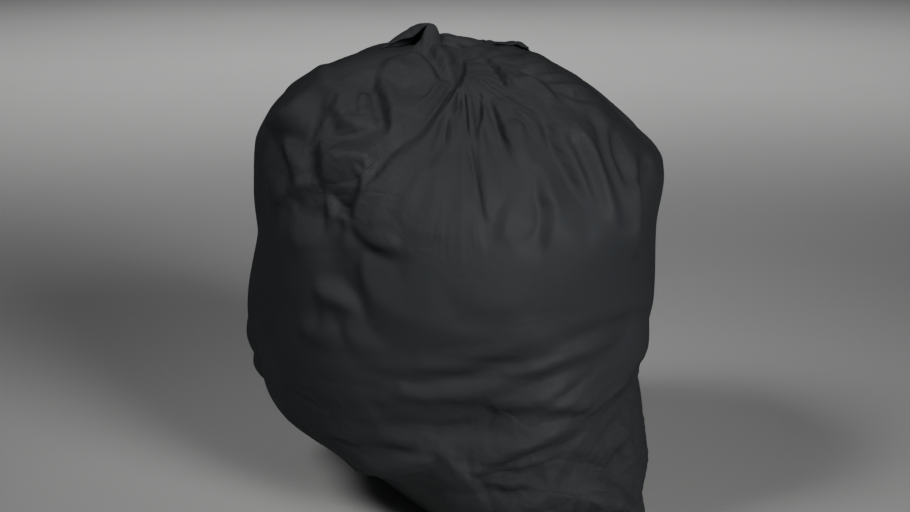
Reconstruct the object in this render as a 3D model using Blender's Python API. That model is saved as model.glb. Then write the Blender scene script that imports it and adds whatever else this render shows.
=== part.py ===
"""Full bin bag: a sack of thin black film, stuffed with rubbish, with its mouth gathered and knotted.

The sack is one piece of film, so it is one closed solid: the stuffed body, the knot that the mouth
is tied in, and the two ears of film that stick out of the knot. Metres, +Z up. The origin is on the
floor under the middle of the bag, and the front is at -Y.
"""

import math

import bmesh
import bpy
import numpy as np
from mathutils import Vector
from mathutils.geometry import delaunay_2d_cdt

MM = 0.001

# Driving dimensions
WIDTH = 0.460  # left to right over the belly
DEPTH = 0.436  # front to back over the belly
CROWN = 0.505  # floor to the top of the film, without the knot
SQUARENESS = 2.35  # 2 makes every ring of the sack an ellipse, and more makes it boxier
FOOT_SLEW = 0.30  # how far the front of the foot is dragged to the right, for each metre forward
SLEW_TOP = 0.50  # the part of the crown height where that has died out

# The front folds are laid out as someone sees them who stands in front and looks slightly down
EYE_DISTANCE = 2.10
EYE_ELEVATION = math.radians(15)
EYE_TARGET = (0.0, 0.0, 0.27)

# Mesh density before and after thinning
COLUMNS = 288
ROWS = 150
KEPT_SHARE = 0.105
MERGE = 1e-6  # points of the crease net closer than this are one
SOFT_PASSES = 1  # times that each point's fold height is averaged with its neighbours'

# The sack's rings from the neck down to the floor. Each has its left, right, front and back point,
# as (reach in half widths or half depths, height in crown heights).
RINGS = [
    ((0.010, 0.995), (0.036, 0.995), (0.055, 0.994), (0.085, 0.996)),
    ((-0.16, 0.984), (0.20, 0.978), (-0.24, 0.948), (0.17, 0.995)),
    ((-0.36, 0.976), (0.37, 0.966), (-0.43, 0.916), (0.34, 0.986)),
    ((-0.58, 0.942), (0.56, 0.918), (-0.63, 0.862), (0.56, 0.946)),
    ((-0.785, 0.895), (0.71, 0.856), (-0.78, 0.792), (0.75, 0.872)),
    ((-0.88, 0.834), (0.85, 0.798), (-0.89, 0.710), (0.88, 0.786)),
    ((-0.92, 0.762), (0.970, 0.736), (-0.95, 0.620), (0.95, 0.682)),
    ((-0.94, 0.615), (0.950, 0.622), (-0.985, 0.505), (0.985, 0.545)),
    ((-0.965, 0.465), (0.92, 0.462), (-1.000, 0.386), (1.000, 0.405)),
    ((-0.955, 0.335), (0.835, 0.345), (-0.975, 0.278), (0.975, 0.278)),
    ((-0.910, 0.222), (0.850, 0.238), (-0.945, 0.175), (0.905, 0.170)),
    ((-0.620, 0.116), (0.850, 0.122), (-0.880, 0.082), (0.825, 0.076)),
    ((-0.400, 0.040), (0.800, 0.035), (-0.800, 0.022), (0.740, 0.020)),
    ((-0.200, 0.000), (0.745, 0.000), (-0.680, 0.000), (0.650, 0.000)),
]

# The crests and creases of the front: name, heights in mm at the start, in the middle and at the end
# (below 0 is a crease), and the line, as (half widths across, crown heights up). The film is nearly
# flat between one line and the next.
FRONT_CREASES = [
    # the knot and the film beside it
    ("knot crease", (-3, -5, -3), [(-0.15, 0.955), (-0.13, 0.945), (-0.1, 0.925), (-0.06, 0.905)]),
    ("knot fold", (3, 8, 4), [(-0.13, 0.965), (-0.11, 0.95), (-0.07, 0.93), (-0.04, 0.915)]),
    ("knot back", (0, 1, 0), [(-0.08, 0.975), (-0.04, 0.965), (0, 0.945)]),
    ("front lobe", (2, 4, 2), [
        (-0.25, 0.95), (-0.21, 0.95), (-0.16, 0.935), (-0.12, 0.915), (-0.11, 0.89),
    ]),
    ("lozenge", (2, 6, 3), [(-0.34, 0.935), (-0.31, 0.925), (-0.26, 0.915), (-0.22, 0.915)]),
    ("under the lozenge", (-1, -3, -1), [(-0.31, 0.9), (-0.26, 0.89), (-0.22, 0.89)]),
    ("lobe side", (1, 2, 1), [(-0.25, 0.865), (-0.2, 0.86), (-0.15, 0.865)]),
    # the tongue of film that laps over the left side
    ("tongue crease", (-4, -4, -3), [
        (0.02, 0.95), (0.03, 0.93), (0.01, 0.91), (-0.01, 0.895), (-0.05, 0.875), (-0.09, 0.85),
        (-0.13, 0.825), (-0.19, 0.79), (-0.25, 0.765), (-0.31, 0.745), (-0.34, 0.73),
        (-0.38, 0.71), (-0.41, 0.685),
    ]),
    ("tongue edge", (-3, 4, -2), [
        (-0.41, 0.685), (-0.44, 0.665), (-0.48, 0.64), (-0.5, 0.615), (-0.5, 0.59), (-0.49, 0.565),
        (-0.46, 0.545),
    ]),
    ("under the tongue", (-2, -7, -2), [
        (-0.46, 0.545), (-0.43, 0.535), (-0.39, 0.525), (-0.34, 0.515), (-0.3, 0.51),
        (-0.26, 0.515),
    ]),
    ("tongue rim", (3, 6, 6), [
        (0.05, 0.945), (0.05, 0.92), (0.03, 0.9), (0, 0.88), (-0.03, 0.86), (-0.07, 0.835),
        (-0.11, 0.81), (-0.17, 0.78), (-0.23, 0.755), (-0.29, 0.73), (-0.33, 0.715),
        (-0.36, 0.695), (-0.4, 0.675),
    ]),
    ("tongue edge rim", (7, 8, 8), [
        (-0.4, 0.675), (-0.43, 0.655), (-0.46, 0.63), (-0.48, 0.61), (-0.48, 0.59), (-0.47, 0.57),
        (-0.44, 0.555),
    ]),
    ("tongue foot rim", (8, 7, 2), [
        (-0.44, 0.555), (-0.4, 0.54), (-0.36, 0.535), (-0.32, 0.535), (-0.27, 0.54),
    ]),
    ("tongue crest", (4, 6, 5), [
        (-0.1, 0.795), (-0.17, 0.76), (-0.24, 0.725), (-0.3, 0.69), (-0.34, 0.65), (-0.38, 0.61),
        (-0.4, 0.575),
    ]),
    ("tongue groove", (2, 3, 3), [
        (-0.12, 0.745), (-0.19, 0.71), (-0.24, 0.675), (-0.28, 0.64), (-0.33, 0.61),
    ]),
    ("tongue inner crest", (3, 6, 3), [
        (-0.09, 0.72), (-0.16, 0.69), (-0.21, 0.655), (-0.25, 0.625), (-0.28, 0.585),
    ]),
    ("strip", (2, 5, 2), [(-0.06, 0.895), (-0.11, 0.875), (-0.16, 0.85), (-0.21, 0.83), (-0.23, 0.81)]),
    ("strip low", (2, 6, 3), [
        (-0.29, 0.78), (-0.35, 0.76), (-0.4, 0.74), (-0.43, 0.715), (-0.45, 0.685), (-0.47, 0.66),
    ]),
    # the angular folds of the left shoulder
    ("shoulder lip", (2, 9, 3), [
        (-0.89, 0.805), (-0.84, 0.815), (-0.78, 0.825), (-0.74, 0.84), (-0.72, 0.865),
    ]),
    ("above the lip", (0, 0, 0), [(-0.84, 0.845), (-0.8, 0.865), (-0.76, 0.88)]),
    ("under the lip", (-4, -6, -2), [(-0.83, 0.78), (-0.77, 0.775), (-0.71, 0.78), (-0.67, 0.785)]),
    ("side crease", (-3, -7, -3), [
        (-0.91, 0.79), (-0.89, 0.765), (-0.86, 0.74), (-0.83, 0.705), (-0.81, 0.68),
    ]),
    ("side lip", (0, 3, 1), [(-0.83, 0.765), (-0.81, 0.74), (-0.79, 0.71), (-0.78, 0.685)]),
    ("quad foot", (3, 4, 3), [(-0.78, 0.715), (-0.74, 0.715), (-0.7, 0.72)]),
    ("side facet", (0, 1, 0), [(-0.94, 0.745), (-0.92, 0.71), (-0.91, 0.67), (-0.92, 0.635)]),
    ("side shadow", (-1, -4, -2), [(-0.87, 0.62), (-0.79, 0.635), (-0.72, 0.65), (-0.67, 0.665)]),
    ("sill", (1, 3, 2), [(-0.89, 0.63), (-0.81, 0.65), (-0.75, 0.665), (-0.69, 0.68), (-0.65, 0.68)]),
    ("pocket edge", (-2, -5, -3), [(-0.7, 0.75), (-0.7, 0.73), (-0.7, 0.71), (-0.7, 0.685)]),
    ("pocket", (-1, -2, -1), [(-0.67, 0.75), (-0.67, 0.72), (-0.67, 0.685)]),
    ("pocket rim", (4, 7, 3), [
        (-0.64, 0.755), (-0.63, 0.74), (-0.63, 0.715), (-0.63, 0.695), (-0.64, 0.68),
    ]),
    ("band shadow", (-2, -4, -1), [
        (-0.65, 0.78), (-0.59, 0.775), (-0.53, 0.775), (-0.46, 0.78), (-0.4, 0.79),
    ]),
    ("band", (6, 11, 8), [(-0.62, 0.73), (-0.56, 0.73), (-0.5, 0.73), (-0.44, 0.73)]),
    ("recess floor", (-6, -9, -5), [(-0.6, 0.63), (-0.56, 0.625), (-0.51, 0.61)]),
    ("recess right", (3, -5, -6), [(-0.44, 0.71), (-0.45, 0.685), (-0.48, 0.66), (-0.51, 0.63)]),
    ("upright crease", (-5, -6, -2), [(-0.66, 0.665), (-0.65, 0.635), (-0.65, 0.6), (-0.65, 0.565)]),
    ("upright lip", (-3, -2, 0), [(-0.62, 0.66), (-0.62, 0.625), (-0.62, 0.595), (-0.62, 0.565)]),
    ("low facet", (2, 4, 2), [(-0.81, 0.555), (-0.74, 0.55), (-0.67, 0.555)]),
    ("upright fold", (-2, 2, 1), [(-0.55, 0.58), (-0.56, 0.56), (-0.58, 0.54), (-0.59, 0.525)]),
    ("beside the tongue", (1, 4, 0), [(-0.53, 0.605), (-0.53, 0.575), (-0.53, 0.545), (-0.54, 0.52)]),
    ("peak top", (2, 3, 2), [(-0.44, 0.9), (-0.41, 0.915), (-0.37, 0.905)]),
    ("peak crease", (-7, -8, -3), [
        (-0.41, 0.9), (-0.41, 0.88), (-0.39, 0.86), (-0.37, 0.835), (-0.36, 0.815), (-0.34, 0.795),
    ]),
    ("hook fold", (3, 5, 3), [
        (-0.36, 0.895), (-0.34, 0.87), (-0.32, 0.845), (-0.31, 0.815), (-0.31, 0.79),
    ]),
    ("drop right", (3, 6, 2), [
        (-0.49, 0.905), (-0.53, 0.88), (-0.56, 0.855), (-0.55, 0.83), (-0.53, 0.81), (-0.49, 0.8),
        (-0.45, 0.81), (-0.4, 0.815),
    ]),
    ("drop right hollow", (1, 1, 1), [(-0.48, 0.87), (-0.48, 0.845), (-0.49, 0.825)]),
    ("drop right second", (3, 5, 3), [(-0.43, 0.865), (-0.45, 0.845), (-0.46, 0.825)]),
    ("drop left", (2, 6, 3), [(-0.57, 0.89), (-0.61, 0.875), (-0.63, 0.86)]),
    ("drop left tail", (2, 4, 1), [(-0.57, 0.85), (-0.59, 0.83), (-0.6, 0.815)]),
    ("beside the drops", (-1, -3, -1), [(-0.66, 0.83), (-0.66, 0.81), (-0.66, 0.79)]),
    ("drop edge", (1, 2, 1), [(-0.63, 0.83), (-0.63, 0.81), (-0.63, 0.795)]),
    # pleats that fan out of the knot
    ("upper crease", (-1, -4, -3), [
        (0.11, 0.945), (0.16, 0.93), (0.2, 0.91), (0.24, 0.885), (0.3, 0.87), (0.35, 0.855),
        (0.39, 0.84),
    ]),
    ("upper lip", (2, 4, 3), [
        (0.13, 0.95), (0.18, 0.935), (0.23, 0.915), (0.28, 0.895), (0.33, 0.88), (0.38, 0.865),
        (0.42, 0.845),
    ]),
    ("main crease", (-3, -7, -3), [
        (0.41, 0.83), (0.43, 0.8), (0.45, 0.77), (0.48, 0.74), (0.52, 0.71), (0.55, 0.68),
        (0.58, 0.65), (0.62, 0.62),
    ]),
    ("main lip", (3, 4, 1), [
        (0.44, 0.83), (0.46, 0.805), (0.48, 0.775), (0.52, 0.745), (0.55, 0.72), (0.58, 0.69),
        (0.61, 0.66), (0.65, 0.63),
    ]),
    ("main pleat", (3, 7, 4), [(0.32, 0.915), (0.39, 0.885), (0.45, 0.86)]),
    ("main fold", (3, 9, 4), [
        (0.45, 0.82), (0.51, 0.8), (0.57, 0.78), (0.62, 0.75), (0.65, 0.72), (0.68, 0.68),
        (0.71, 0.645), (0.74, 0.61),
    ]),
    ("main fold foot", (0, -2, 0), [
        (0.54, 0.77), (0.59, 0.745), (0.62, 0.71), (0.65, 0.675), (0.68, 0.635), (0.71, 0.605),
    ]),
    ("main far crease", (-1, -3, -1), [
        (0.48, 0.865), (0.56, 0.835), (0.63, 0.82), (0.68, 0.795), (0.69, 0.765), (0.71, 0.73),
        (0.74, 0.69), (0.77, 0.655), (0.79, 0.615),
    ]),
    ("main far lip", (1, 3, 1), [
        (0.5, 0.87), (0.57, 0.845), (0.65, 0.83), (0.7, 0.805), (0.71, 0.77), (0.73, 0.735),
        (0.76, 0.695), (0.79, 0.66), (0.82, 0.625),
    ]),
    ("second crease", (-1, -3, -2), [(0.24, 0.845), (0.28, 0.825), (0.33, 0.8), (0.36, 0.78)]),
    ("second lip", (1, 3, 2), [(0.26, 0.855), (0.3, 0.83), (0.34, 0.81), (0.38, 0.79)]),
    ("lobe crest", (2, 5, 2), [(0.3, 0.81), (0.3, 0.78), (0.32, 0.745)]),
    ("lobe crease", (-1, -3, -1), [(0.39, 0.78), (0.4, 0.755), (0.38, 0.73)]),
    ("third crease", (-1, -4, -2), [
        (0.15, 0.86), (0.18, 0.83), (0.2, 0.8), (0.21, 0.775), (0.23, 0.745), (0.24, 0.72),
    ]),
    ("third lip", (1, 3, 1), [
        (0.18, 0.865), (0.2, 0.835), (0.22, 0.805), (0.23, 0.78), (0.26, 0.75), (0.27, 0.725),
    ]),
    ("fourth crease", (-1, -4, -2), [
        (0.1, 0.87), (0.11, 0.84), (0.1, 0.815), (0.09, 0.785), (0.1, 0.755),
    ]),
    ("fourth lip", (1, 3, 1), [
        (0.12, 0.875), (0.13, 0.84), (0.12, 0.815), (0.11, 0.785), (0.12, 0.755),
    ]),
    ("fifth crease", (-1, -2, -1), [(0.04, 0.825), (0.04, 0.795), (0.03, 0.765)]),
    ("fifth lip", (1, 2, 1), [(0.06, 0.83), (0.06, 0.8), (0.06, 0.765)]),
    ("gather shade", (-1, -3, -1), [(0.01, 0.86), (0, 0.845), (-0.02, 0.83)]),
    ("gather lip", (2, 3, 1), [(0.05, 0.88), (0.06, 0.86), (0.06, 0.84)]),
    ("sixth crease", (-1, -4, -1), [(-0.05, 0.815), (-0.05, 0.785), (-0.06, 0.75)]),
    ("sixth lip", (1, 3, 1), [(-0.02, 0.815), (-0.02, 0.785), (-0.03, 0.75)]),
    ("low crease", (-1, -2, -1), [(0.1, 0.71), (0.1, 0.66), (0.11, 0.61)]),
    ("low lip", (1, 2, 1), [(0.13, 0.71), (0.13, 0.66), (0.13, 0.61)]),
    ("slant crease", (-1, -2, -1), [(0.22, 0.635), (0.19, 0.595), (0.17, 0.56)]),
    ("slant lip", (1, 2, 1), [(0.25, 0.63), (0.23, 0.595), (0.2, 0.56)]),
    ("small notch", (-1, -2, -1), [(0.36, 0.68), (0.36, 0.63), (0.37, 0.585)]),
    ("small notch lip", (1, 1, 1), [(0.39, 0.68), (0.4, 0.64)]),
    ("notch", (-1, -4, -1), [(0.42, 0.645), (0.4, 0.61), (0.39, 0.565), (0.4, 0.53)]),
    ("notch lip", (1, 3, 1), [(0.45, 0.645), (0.45, 0.61), (0.44, 0.57), (0.43, 0.53)]),
    ("high lip", (0, 3, 1), [(0.3, 0.93), (0.35, 0.93), (0.42, 0.93), (0.5, 0.93)]),
    ("high crease", (-1, -4, -1), [(0.3, 0.92), (0.35, 0.915), (0.42, 0.92), (0.5, 0.92)]),
    ("back lip", (0, 2, 0), [(0.39, 0.915), (0.46, 0.91), (0.54, 0.91)]),
    ("back crease", (0, -2, 0), [(0.39, 0.905), (0.46, 0.9), (0.54, 0.9)]),
    ("side lip right", (1, 4, 1), [(0.45, 0.89), (0.51, 0.885), (0.57, 0.88), (0.64, 0.865)]),
    ("side crease right", (-1, -5, -1), [(0.45, 0.88), (0.51, 0.875), (0.56, 0.865), (0.63, 0.855)]),
    ("right facet", (0, 1, 0), [(0.65, 0.855), (0.71, 0.84), (0.77, 0.815)]),
    ("edge crease a", (-1, -5, -1), [
        (0.74, 0.785), (0.75, 0.755), (0.77, 0.73), (0.8, 0.695), (0.83, 0.665),
    ]),
    ("edge lip a", (1, 3, 1), [(0.76, 0.79), (0.78, 0.76), (0.8, 0.73), (0.83, 0.705), (0.86, 0.675)]),
    ("edge pleat", (1, 2, 1), [(0.81, 0.645), (0.84, 0.62), (0.86, 0.59)]),
    ("edge crest b", (3, 7, 4), [(0.84, 0.74), (0.85, 0.69), (0.86, 0.64), (0.86, 0.58), (0.86, 0.53)]),
    ("edge hollow b", (-5, -8, -4), [
        (0.89, 0.72), (0.9, 0.68), (0.91, 0.63), (0.91, 0.575), (0.91, 0.53),
    ]),
    ("edge facet b", (1, 2, 0), [(0.89, 0.75), (0.92, 0.73), (0.93, 0.71)]),
    # the smooth belly and the curl beside it
    ("belly upper", (0, 0, 0), [
        (-0.22, 0.51), (-0.08, 0.54), (0.06, 0.545), (0.23, 0.535), (0.35, 0.505), (0.5, 0.495),
        (0.67, 0.55), (0.82, 0.575),
    ]),
    ("belly middle", (0, 0, 0), [
        (-0.25, 0.46), (-0.03, 0.475), (0.25, 0.475), (0.54, 0.475), (0.82, 0.505),
    ]),
    ("belly edge", (1, 3, 0), [
        (-0.46, 0.5), (-0.44, 0.46), (-0.4, 0.425), (-0.33, 0.4), (-0.24, 0.38), (-0.14, 0.365),
        (-0.01, 0.35), (0.13, 0.34),
    ]),
    ("belly side", (-3, -5, -4), [
        (-0.5, 0.505), (-0.49, 0.465), (-0.48, 0.43), (-0.46, 0.395), (-0.42, 0.355),
        (-0.33, 0.32), (-0.23, 0.3),
    ]),
    ("below the belly", (-3, -2, 0), [(-0.18, 0.31), (-0.06, 0.305), (0.09, 0.31), (0.21, 0.32)]),
    ("curl stem", (2, 3, 3), [(-0.61, 0.515), (-0.64, 0.49), (-0.66, 0.465)]),
    ("curl crease", (-4, -7, -3), [(-0.62, 0.47), (-0.57, 0.455), (-0.53, 0.44), (-0.48, 0.415)]),
    ("curl pocket", (-3, -6, -5), [(-0.59, 0.49), (-0.55, 0.47), (-0.51, 0.445)]),
    ("curl", (4, 8, 3), [(-0.68, 0.445), (-0.64, 0.43), (-0.59, 0.425), (-0.54, 0.415), (-0.5, 0.405)]),
    ("under the curl", (-3, -5, -4), [(-0.68, 0.415), (-0.62, 0.405), (-0.55, 0.395), (-0.48, 0.39)]),
    ("side sag a", (-2, -1, -2), [
        (-0.65, 0.375), (-0.58, 0.355), (-0.52, 0.335), (-0.47, 0.32), (-0.41, 0.32),
    ]),
    ("side sag crease", (-3, -5, -3), [(-0.71, 0.39), (-0.65, 0.375), (-0.57, 0.355), (-0.53, 0.325)]),
    ("side sag b", (-1, 1, -1), [(-0.78, 0.375), (-0.73, 0.355), (-0.67, 0.34), (-0.61, 0.33)]),
    ("below the side sags", (-2, -3, -3), [(-0.75, 0.325), (-0.63, 0.305), (-0.5, 0.3)]),
    # where the slack film sags below the belly
    ("belly line", (0, 1, 0), [(-0.01, 0.395), (0.11, 0.4), (0.23, 0.4), (0.33, 0.395)]),
    ("belly line crease", (0, -1, 0), [(0, 0.38), (0.11, 0.38), (0.3, 0.38)]),
    ("belly foot", (1, 2, 1), [(0.93, 0.42), (0.78, 0.39), (0.64, 0.37), (0.5, 0.345)]),
    ("belly foot crease", (-2, -4, -1), [(0.92, 0.4), (0.79, 0.375), (0.66, 0.35), (0.52, 0.32)]),
    ("patch crease", (0, -1, 0), [(0.35, 0.285), (0.44, 0.305), (0.52, 0.32)]),
    ("patch", (1, 4, 1), [(0.39, 0.28), (0.48, 0.29), (0.56, 0.305), (0.64, 0.32), (0.71, 0.335)]),
    ("first sag", (-1, 2, 2), [
        (-0.44, 0.285), (-0.34, 0.27), (-0.26, 0.265), (-0.17, 0.265), (-0.08, 0.27), (0, 0.275),
        (0.09, 0.285), (0.17, 0.3), (0.26, 0.315), (0.35, 0.325),
    ]),
    ("first sag crease", (-4, -7, -2), [
        (-0.45, 0.265), (-0.37, 0.25), (-0.29, 0.24), (-0.22, 0.23), (-0.13, 0.23), (-0.04, 0.235),
        (0.04, 0.245), (0.12, 0.26), (0.21, 0.275), (0.3, 0.29), (0.38, 0.305),
    ]),
    ("second sag upper", (0, 2, 1), [(-0.05, 0.22), (0.02, 0.22), (0.11, 0.23), (0.19, 0.245)]),
    ("second sag lip", (1, 3, 1), [
        (0.23, 0.25), (0.31, 0.255), (0.4, 0.265), (0.47, 0.275), (0.55, 0.29), (0.63, 0.3),
        (0.69, 0.315), (0.75, 0.335),
    ]),
    ("second sag crease", (0, -9, -5), [
        (0.24, 0.23), (0.32, 0.235), (0.4, 0.24), (0.47, 0.255), (0.55, 0.265), (0.63, 0.28),
        (0.7, 0.295), (0.76, 0.315), (0.81, 0.34),
    ]),
    ("second sag", (1, 4, 6), [
        (-0.25, 0.215), (-0.16, 0.205), (-0.06, 0.205), (0.03, 0.2), (0.12, 0.2), (0.19, 0.195),
    ]),
    ("third sag crease", (-2, -5, -4), [
        (-0.25, 0.2), (-0.16, 0.19), (-0.06, 0.185), (0.03, 0.185), (0.12, 0.185), (0.19, 0.175),
    ]),
    ("main sag", (6, 14, 7), [
        (0.23, 0.195), (0.31, 0.19), (0.4, 0.19), (0.49, 0.19), (0.58, 0.19), (0.65, 0.2),
        (0.7, 0.215), (0.75, 0.235), (0.79, 0.265), (0.83, 0.295), (0.87, 0.325),
    ]),
    ("main sag crease", (-6, -7, -4), [
        (0.26, 0.16), (0.34, 0.165), (0.42, 0.17), (0.49, 0.17), (0.57, 0.16), (0.64, 0.16),
        (0.69, 0.175), (0.75, 0.195), (0.8, 0.22), (0.85, 0.26), (0.89, 0.295),
    ]),
    ("low band crease", (-3, -8, -6), [
        (-0.16, 0.1), (-0.08, 0.115), (-0.01, 0.125), (0.06, 0.135), (0.13, 0.145), (0.2, 0.155),
        (0.26, 0.16),
    ]),
    ("left low sag", (-3, -4, -5), [
        (-0.36, 0.16), (-0.27, 0.15), (-0.16, 0.14), (-0.04, 0.145), (0.07, 0.155), (0.17, 0.165),
    ]),
    ("low band", (5, 12, 6), [
        (-0.09, 0.085), (-0.03, 0.07), (0.02, 0.055), (0.08, 0.05), (0.14, 0.06), (0.21, 0.07),
        (0.26, 0.085), (0.33, 0.095), (0.42, 0.11), (0.49, 0.125), (0.55, 0.145),
    ]),
    ("under the low band", (-2, -4, -2), [
        (0.1, 0.04), (0.17, 0.05), (0.24, 0.065), (0.32, 0.08), (0.4, 0.09), (0.48, 0.105),
        (0.53, 0.12), (0.58, 0.14),
    ]),
    ("left foot crease", (-2, -4, -2), [
        (-0.45, 0.08), (-0.38, 0.075), (-0.31, 0.08), (-0.25, 0.09), (-0.19, 0.095),
    ]),
    ("left foot band", (5, 13, 9), [
        (-0.45, 0.07), (-0.4, 0.055), (-0.33, 0.05), (-0.27, 0.055), (-0.21, 0.065),
        (-0.15, 0.075),
    ]),
    ("under the left foot band", (-4, -7, -2), [
        (-0.39, 0.035), (-0.32, 0.03), (-0.25, 0.035), (-0.19, 0.04), (-0.11, 0.05),
    ]),
    ("left sag", (1, 6, 1), [(-0.36, 0.115), (-0.29, 0.11), (-0.23, 0.1), (-0.18, 0.1)]),
    ("left sag crease", (-2, -5, -2), [(-0.38, 0.135), (-0.31, 0.13), (-0.23, 0.125), (-0.18, 0.12)]),
    ("left dimple", (-1, -2, -1), [(-0.48, 0.205), (-0.43, 0.205), (-0.37, 0.2)]),
    ("foot sag a", (1, 7, 1), [(0.23, 0.055), (0.3, 0.055), (0.37, 0.065), (0.43, 0.075)]),
    ("foot sag a crease", (-2, -4, -1), [(0.22, 0.04), (0.28, 0.045), (0.35, 0.05), (0.43, 0.06)]),
    ("foot sag b", (2, 9, 2), [(0.19, 0.015), (0.25, 0.015), (0.31, 0.02), (0.35, 0.03)]),
    ("foot crease b", (-2, -5, -2), [(0.2, 0), (0.26, 0.005), (0.33, 0.015), (0.38, 0.03)]),
    ("foot sag c", (2, 9, 4), [
        (0.17, -0.035), (0.24, -0.03), (0.32, -0.02), (0.39, -0.005), (0.44, 0.015),
    ]),
    ("foot pleat crease", (-2, -6, -2), [
        (0.54, 0.025), (0.62, 0.035), (0.7, 0.035), (0.77, 0.025), (0.83, 0.005),
    ]),
    ("foot pleat", (5, 13, 8), [
        (0.56, 0), (0.62, -0.005), (0.68, -0.01), (0.75, -0.015), (0.8, -0.025), (0.86, -0.04),
    ]),
    ("corner ridge", (1, 6, 1), [(0.73, 0.1), (0.78, 0.125), (0.84, 0.15)]),
    ("corner ridge foot", (-1, -3, -1), [(0.68, 0.105), (0.74, 0.13), (0.79, 0.155)]),
    ("corner crease", (-1, -6, -1), [(0.77, 0.095), (0.79, 0.075), (0.83, 0.055)]),
    ("corner lip", (0, 3, 1), [(0.8, 0.1), (0.83, 0.08), (0.86, 0.065)]),
    # the rim of the net, outside the bag
    ("rim", (0, 0, 0), [
        (-1.08, 0.68), (-1.03, 0.835), (-0.8, 0.945), (-0.42, 1.02), (0.01, 1.035), (0.49, 1.02),
        (0.88, 0.91), (1.06, 0.77), (1.08, 0.595), (1.07, 0.42), (1.04, 0.16), (1.03, -0.08),
        (0.49, -0.1), (-0.13, -0.1), (-0.66, -0.015), (-0.99, 0.135), (-1.09, 0.335), (-1.1, 0.51),
        (-1.08, 0.68),
    ]),
]

# The crests and creases of the sides and back: the same heights, and the line, as (degrees round from
# the right-hand side towards the back, crown heights up)
ROUND_CREASES = [
    # pleats that come down from the knot
    ((1, 6, 2), [(22, 0.86), (18, 0.78), (15, 0.66), (14, 0.54)]),
    ((-2, -9, -2), [(36, 0.9), (34, 0.8), (31, 0.68), (28, 0.57)]),
    ((3, 12, 3), [(52, 0.93), (50, 0.8), (46, 0.66), (42, 0.52)]),
    ((-3, -11, -3), [(66, 0.92), (64, 0.8), (60, 0.66), (57, 0.55)]),
    ((3, 11, 3), [(92, 0.95), (96, 0.82), (101, 0.68), (104, 0.52)]),
    ((-3, -12, -3), [(108, 0.93), (114, 0.8), (118, 0.68), (119, 0.56)]),
    ((3, 10, 3), [(134, 0.93), (140, 0.82), (145, 0.72), (150, 0.6)]),
    ((-3, -11, -3), [(150, 0.9), (156, 0.8), (161, 0.7), (164, 0.6)]),
    ((2, 9, 2), [(172, 0.88), (178, 0.78), (183, 0.68), (186, 0.6)]),
    ((-2, -9, -2), [(190, 0.84), (196, 0.76), (201, 0.68)]),
    # swags of slack film that slant down round the bag below the belly
    ((2, 7, 2), [(140, 0.5), (112, 0.42), (84, 0.38), (60, 0.37)]),
    ((-2, -7, -2), [(100, 0.36), (72, 0.33), (44, 0.36), (20, 0.41)]),
    ((3, 10, 3), [(168, 0.44), (140, 0.34), (112, 0.28), (80, 0.27), (46, 0.3), (12, 0.37)]),
    ((-2, -8, -2), [(150, 0.3), (124, 0.24), (96, 0.2), (66, 0.22), (40, 0.26)]),
    ((2, 8, 2), [(198, 0.36), (174, 0.28), (150, 0.2), (124, 0.15), (96, 0.13)]),
    ((2, 9, 2), [(88, 0.21), (62, 0.15), (36, 0.15), (12, 0.2)]),
    ((-2, -7, -2), [(108, 0.1), (80, 0.08), (52, 0.07), (28, 0.1)]),
    ((-2, -7, -2), [(226, 0.4), (206, 0.32), (186, 0.26), (166, 0.2)]),
    ((1, 6, 1), [(232, 0.5), (210, 0.42), (188, 0.38), (166, 0.4)]),
    ((-2, -8, -2), [(-24, 0.22), (-5, 0.26), (12, 0.23), (26, 0.26)]),
    # the plain film above and below
    ((0, 0, 0), [(-200, 1.1), (-90, 1.1), (0, 1.1), (90, 1.1), (200, 1.1)]),
    ((0, 0, 0), [(-200, -0.1), (-90, -0.1), (0, -0.1), (90, -0.1), (200, -0.1)]),
]

# The knot is a low rope of gathered film: centre line points in mm, each with the radius of the rope
KNOT = [
    ((-30, 6, 485), 8),
    ((-18, 12, 498), 13),
    ((-4, 16, 498), 14),
    ((12, 18, 495), 13),
    ((26, 22, 491), 11),
    ((40, 28, 485), 7),
]
# Each ear is a curled flap of film. A station is a closed loop of points: the back foot, the back lip,
# the floor of the pocket, the front lip, the front foot and the root, which lies inside the sack.
LEFT_EAR = [
    [(-80, 17, 490), (-79, 12, 499), (-79, 6, 496), (-78, -2, 495), (-76, -10, 489), (-79, 2, 482)],
    [(-69, 30, 487), (-69, 19, 506), (-68, 11, 494), (-67, -3, 497), (-68, -22, 491), (-68, 4, 478)],
    [(-58, 32, 487), (-57, 18, 514), (-56, 11, 495), (-55, -6, 500), (-58, -26, 491), (-57, 2, 476)],
    [(-47, 32, 487), (-46, 15, 522), (-45, 8, 500), (-45, -9, 505), (-48, -28, 490), (-46, 0, 475)],
    [(-36, 30, 486), (-36, 12, 523), (-35, 4, 513), (-34, -8, 521), (-36, -29, 480), (-36, -2, 470)],
    [(-23, 26, 485), (-23, 8, 520), (-23, 1, 519), (-23, -5, 521), (-23, -25, 474), (-23, -2, 468)],
    [(-12, 20, 484), (-15, 6, 500), (-15, 1, 501), (-15, -3, 501), (-12, -12, 475), (-13, -1, 470)],
]
RIGHT_EAR = [
    [(34, 46, 484), (34, 38, 499), (35, 24, 498), (35, 28, 494), (35, 26, 488), (35, 36, 476)],
    [(46, 54, 481), (46, 44, 500), (45, 19, 502), (46, 33, 496), (46, 29, 487), (46, 40, 474)],
    [(59, 60, 477), (59, 50, 499), (58, 22, 501), (59, 38, 495), (59, 34, 484), (59, 44, 470)],
    [(73, 66, 472), (72, 56, 496), (72, 36, 497), (72, 45, 492), (72, 42, 483), (72, 52, 468)],
    [(80, 66, 472), (79, 58, 490), (79, 48, 490), (79, 50, 487), (79, 50, 480), (79, 56, 468)],
]


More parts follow.
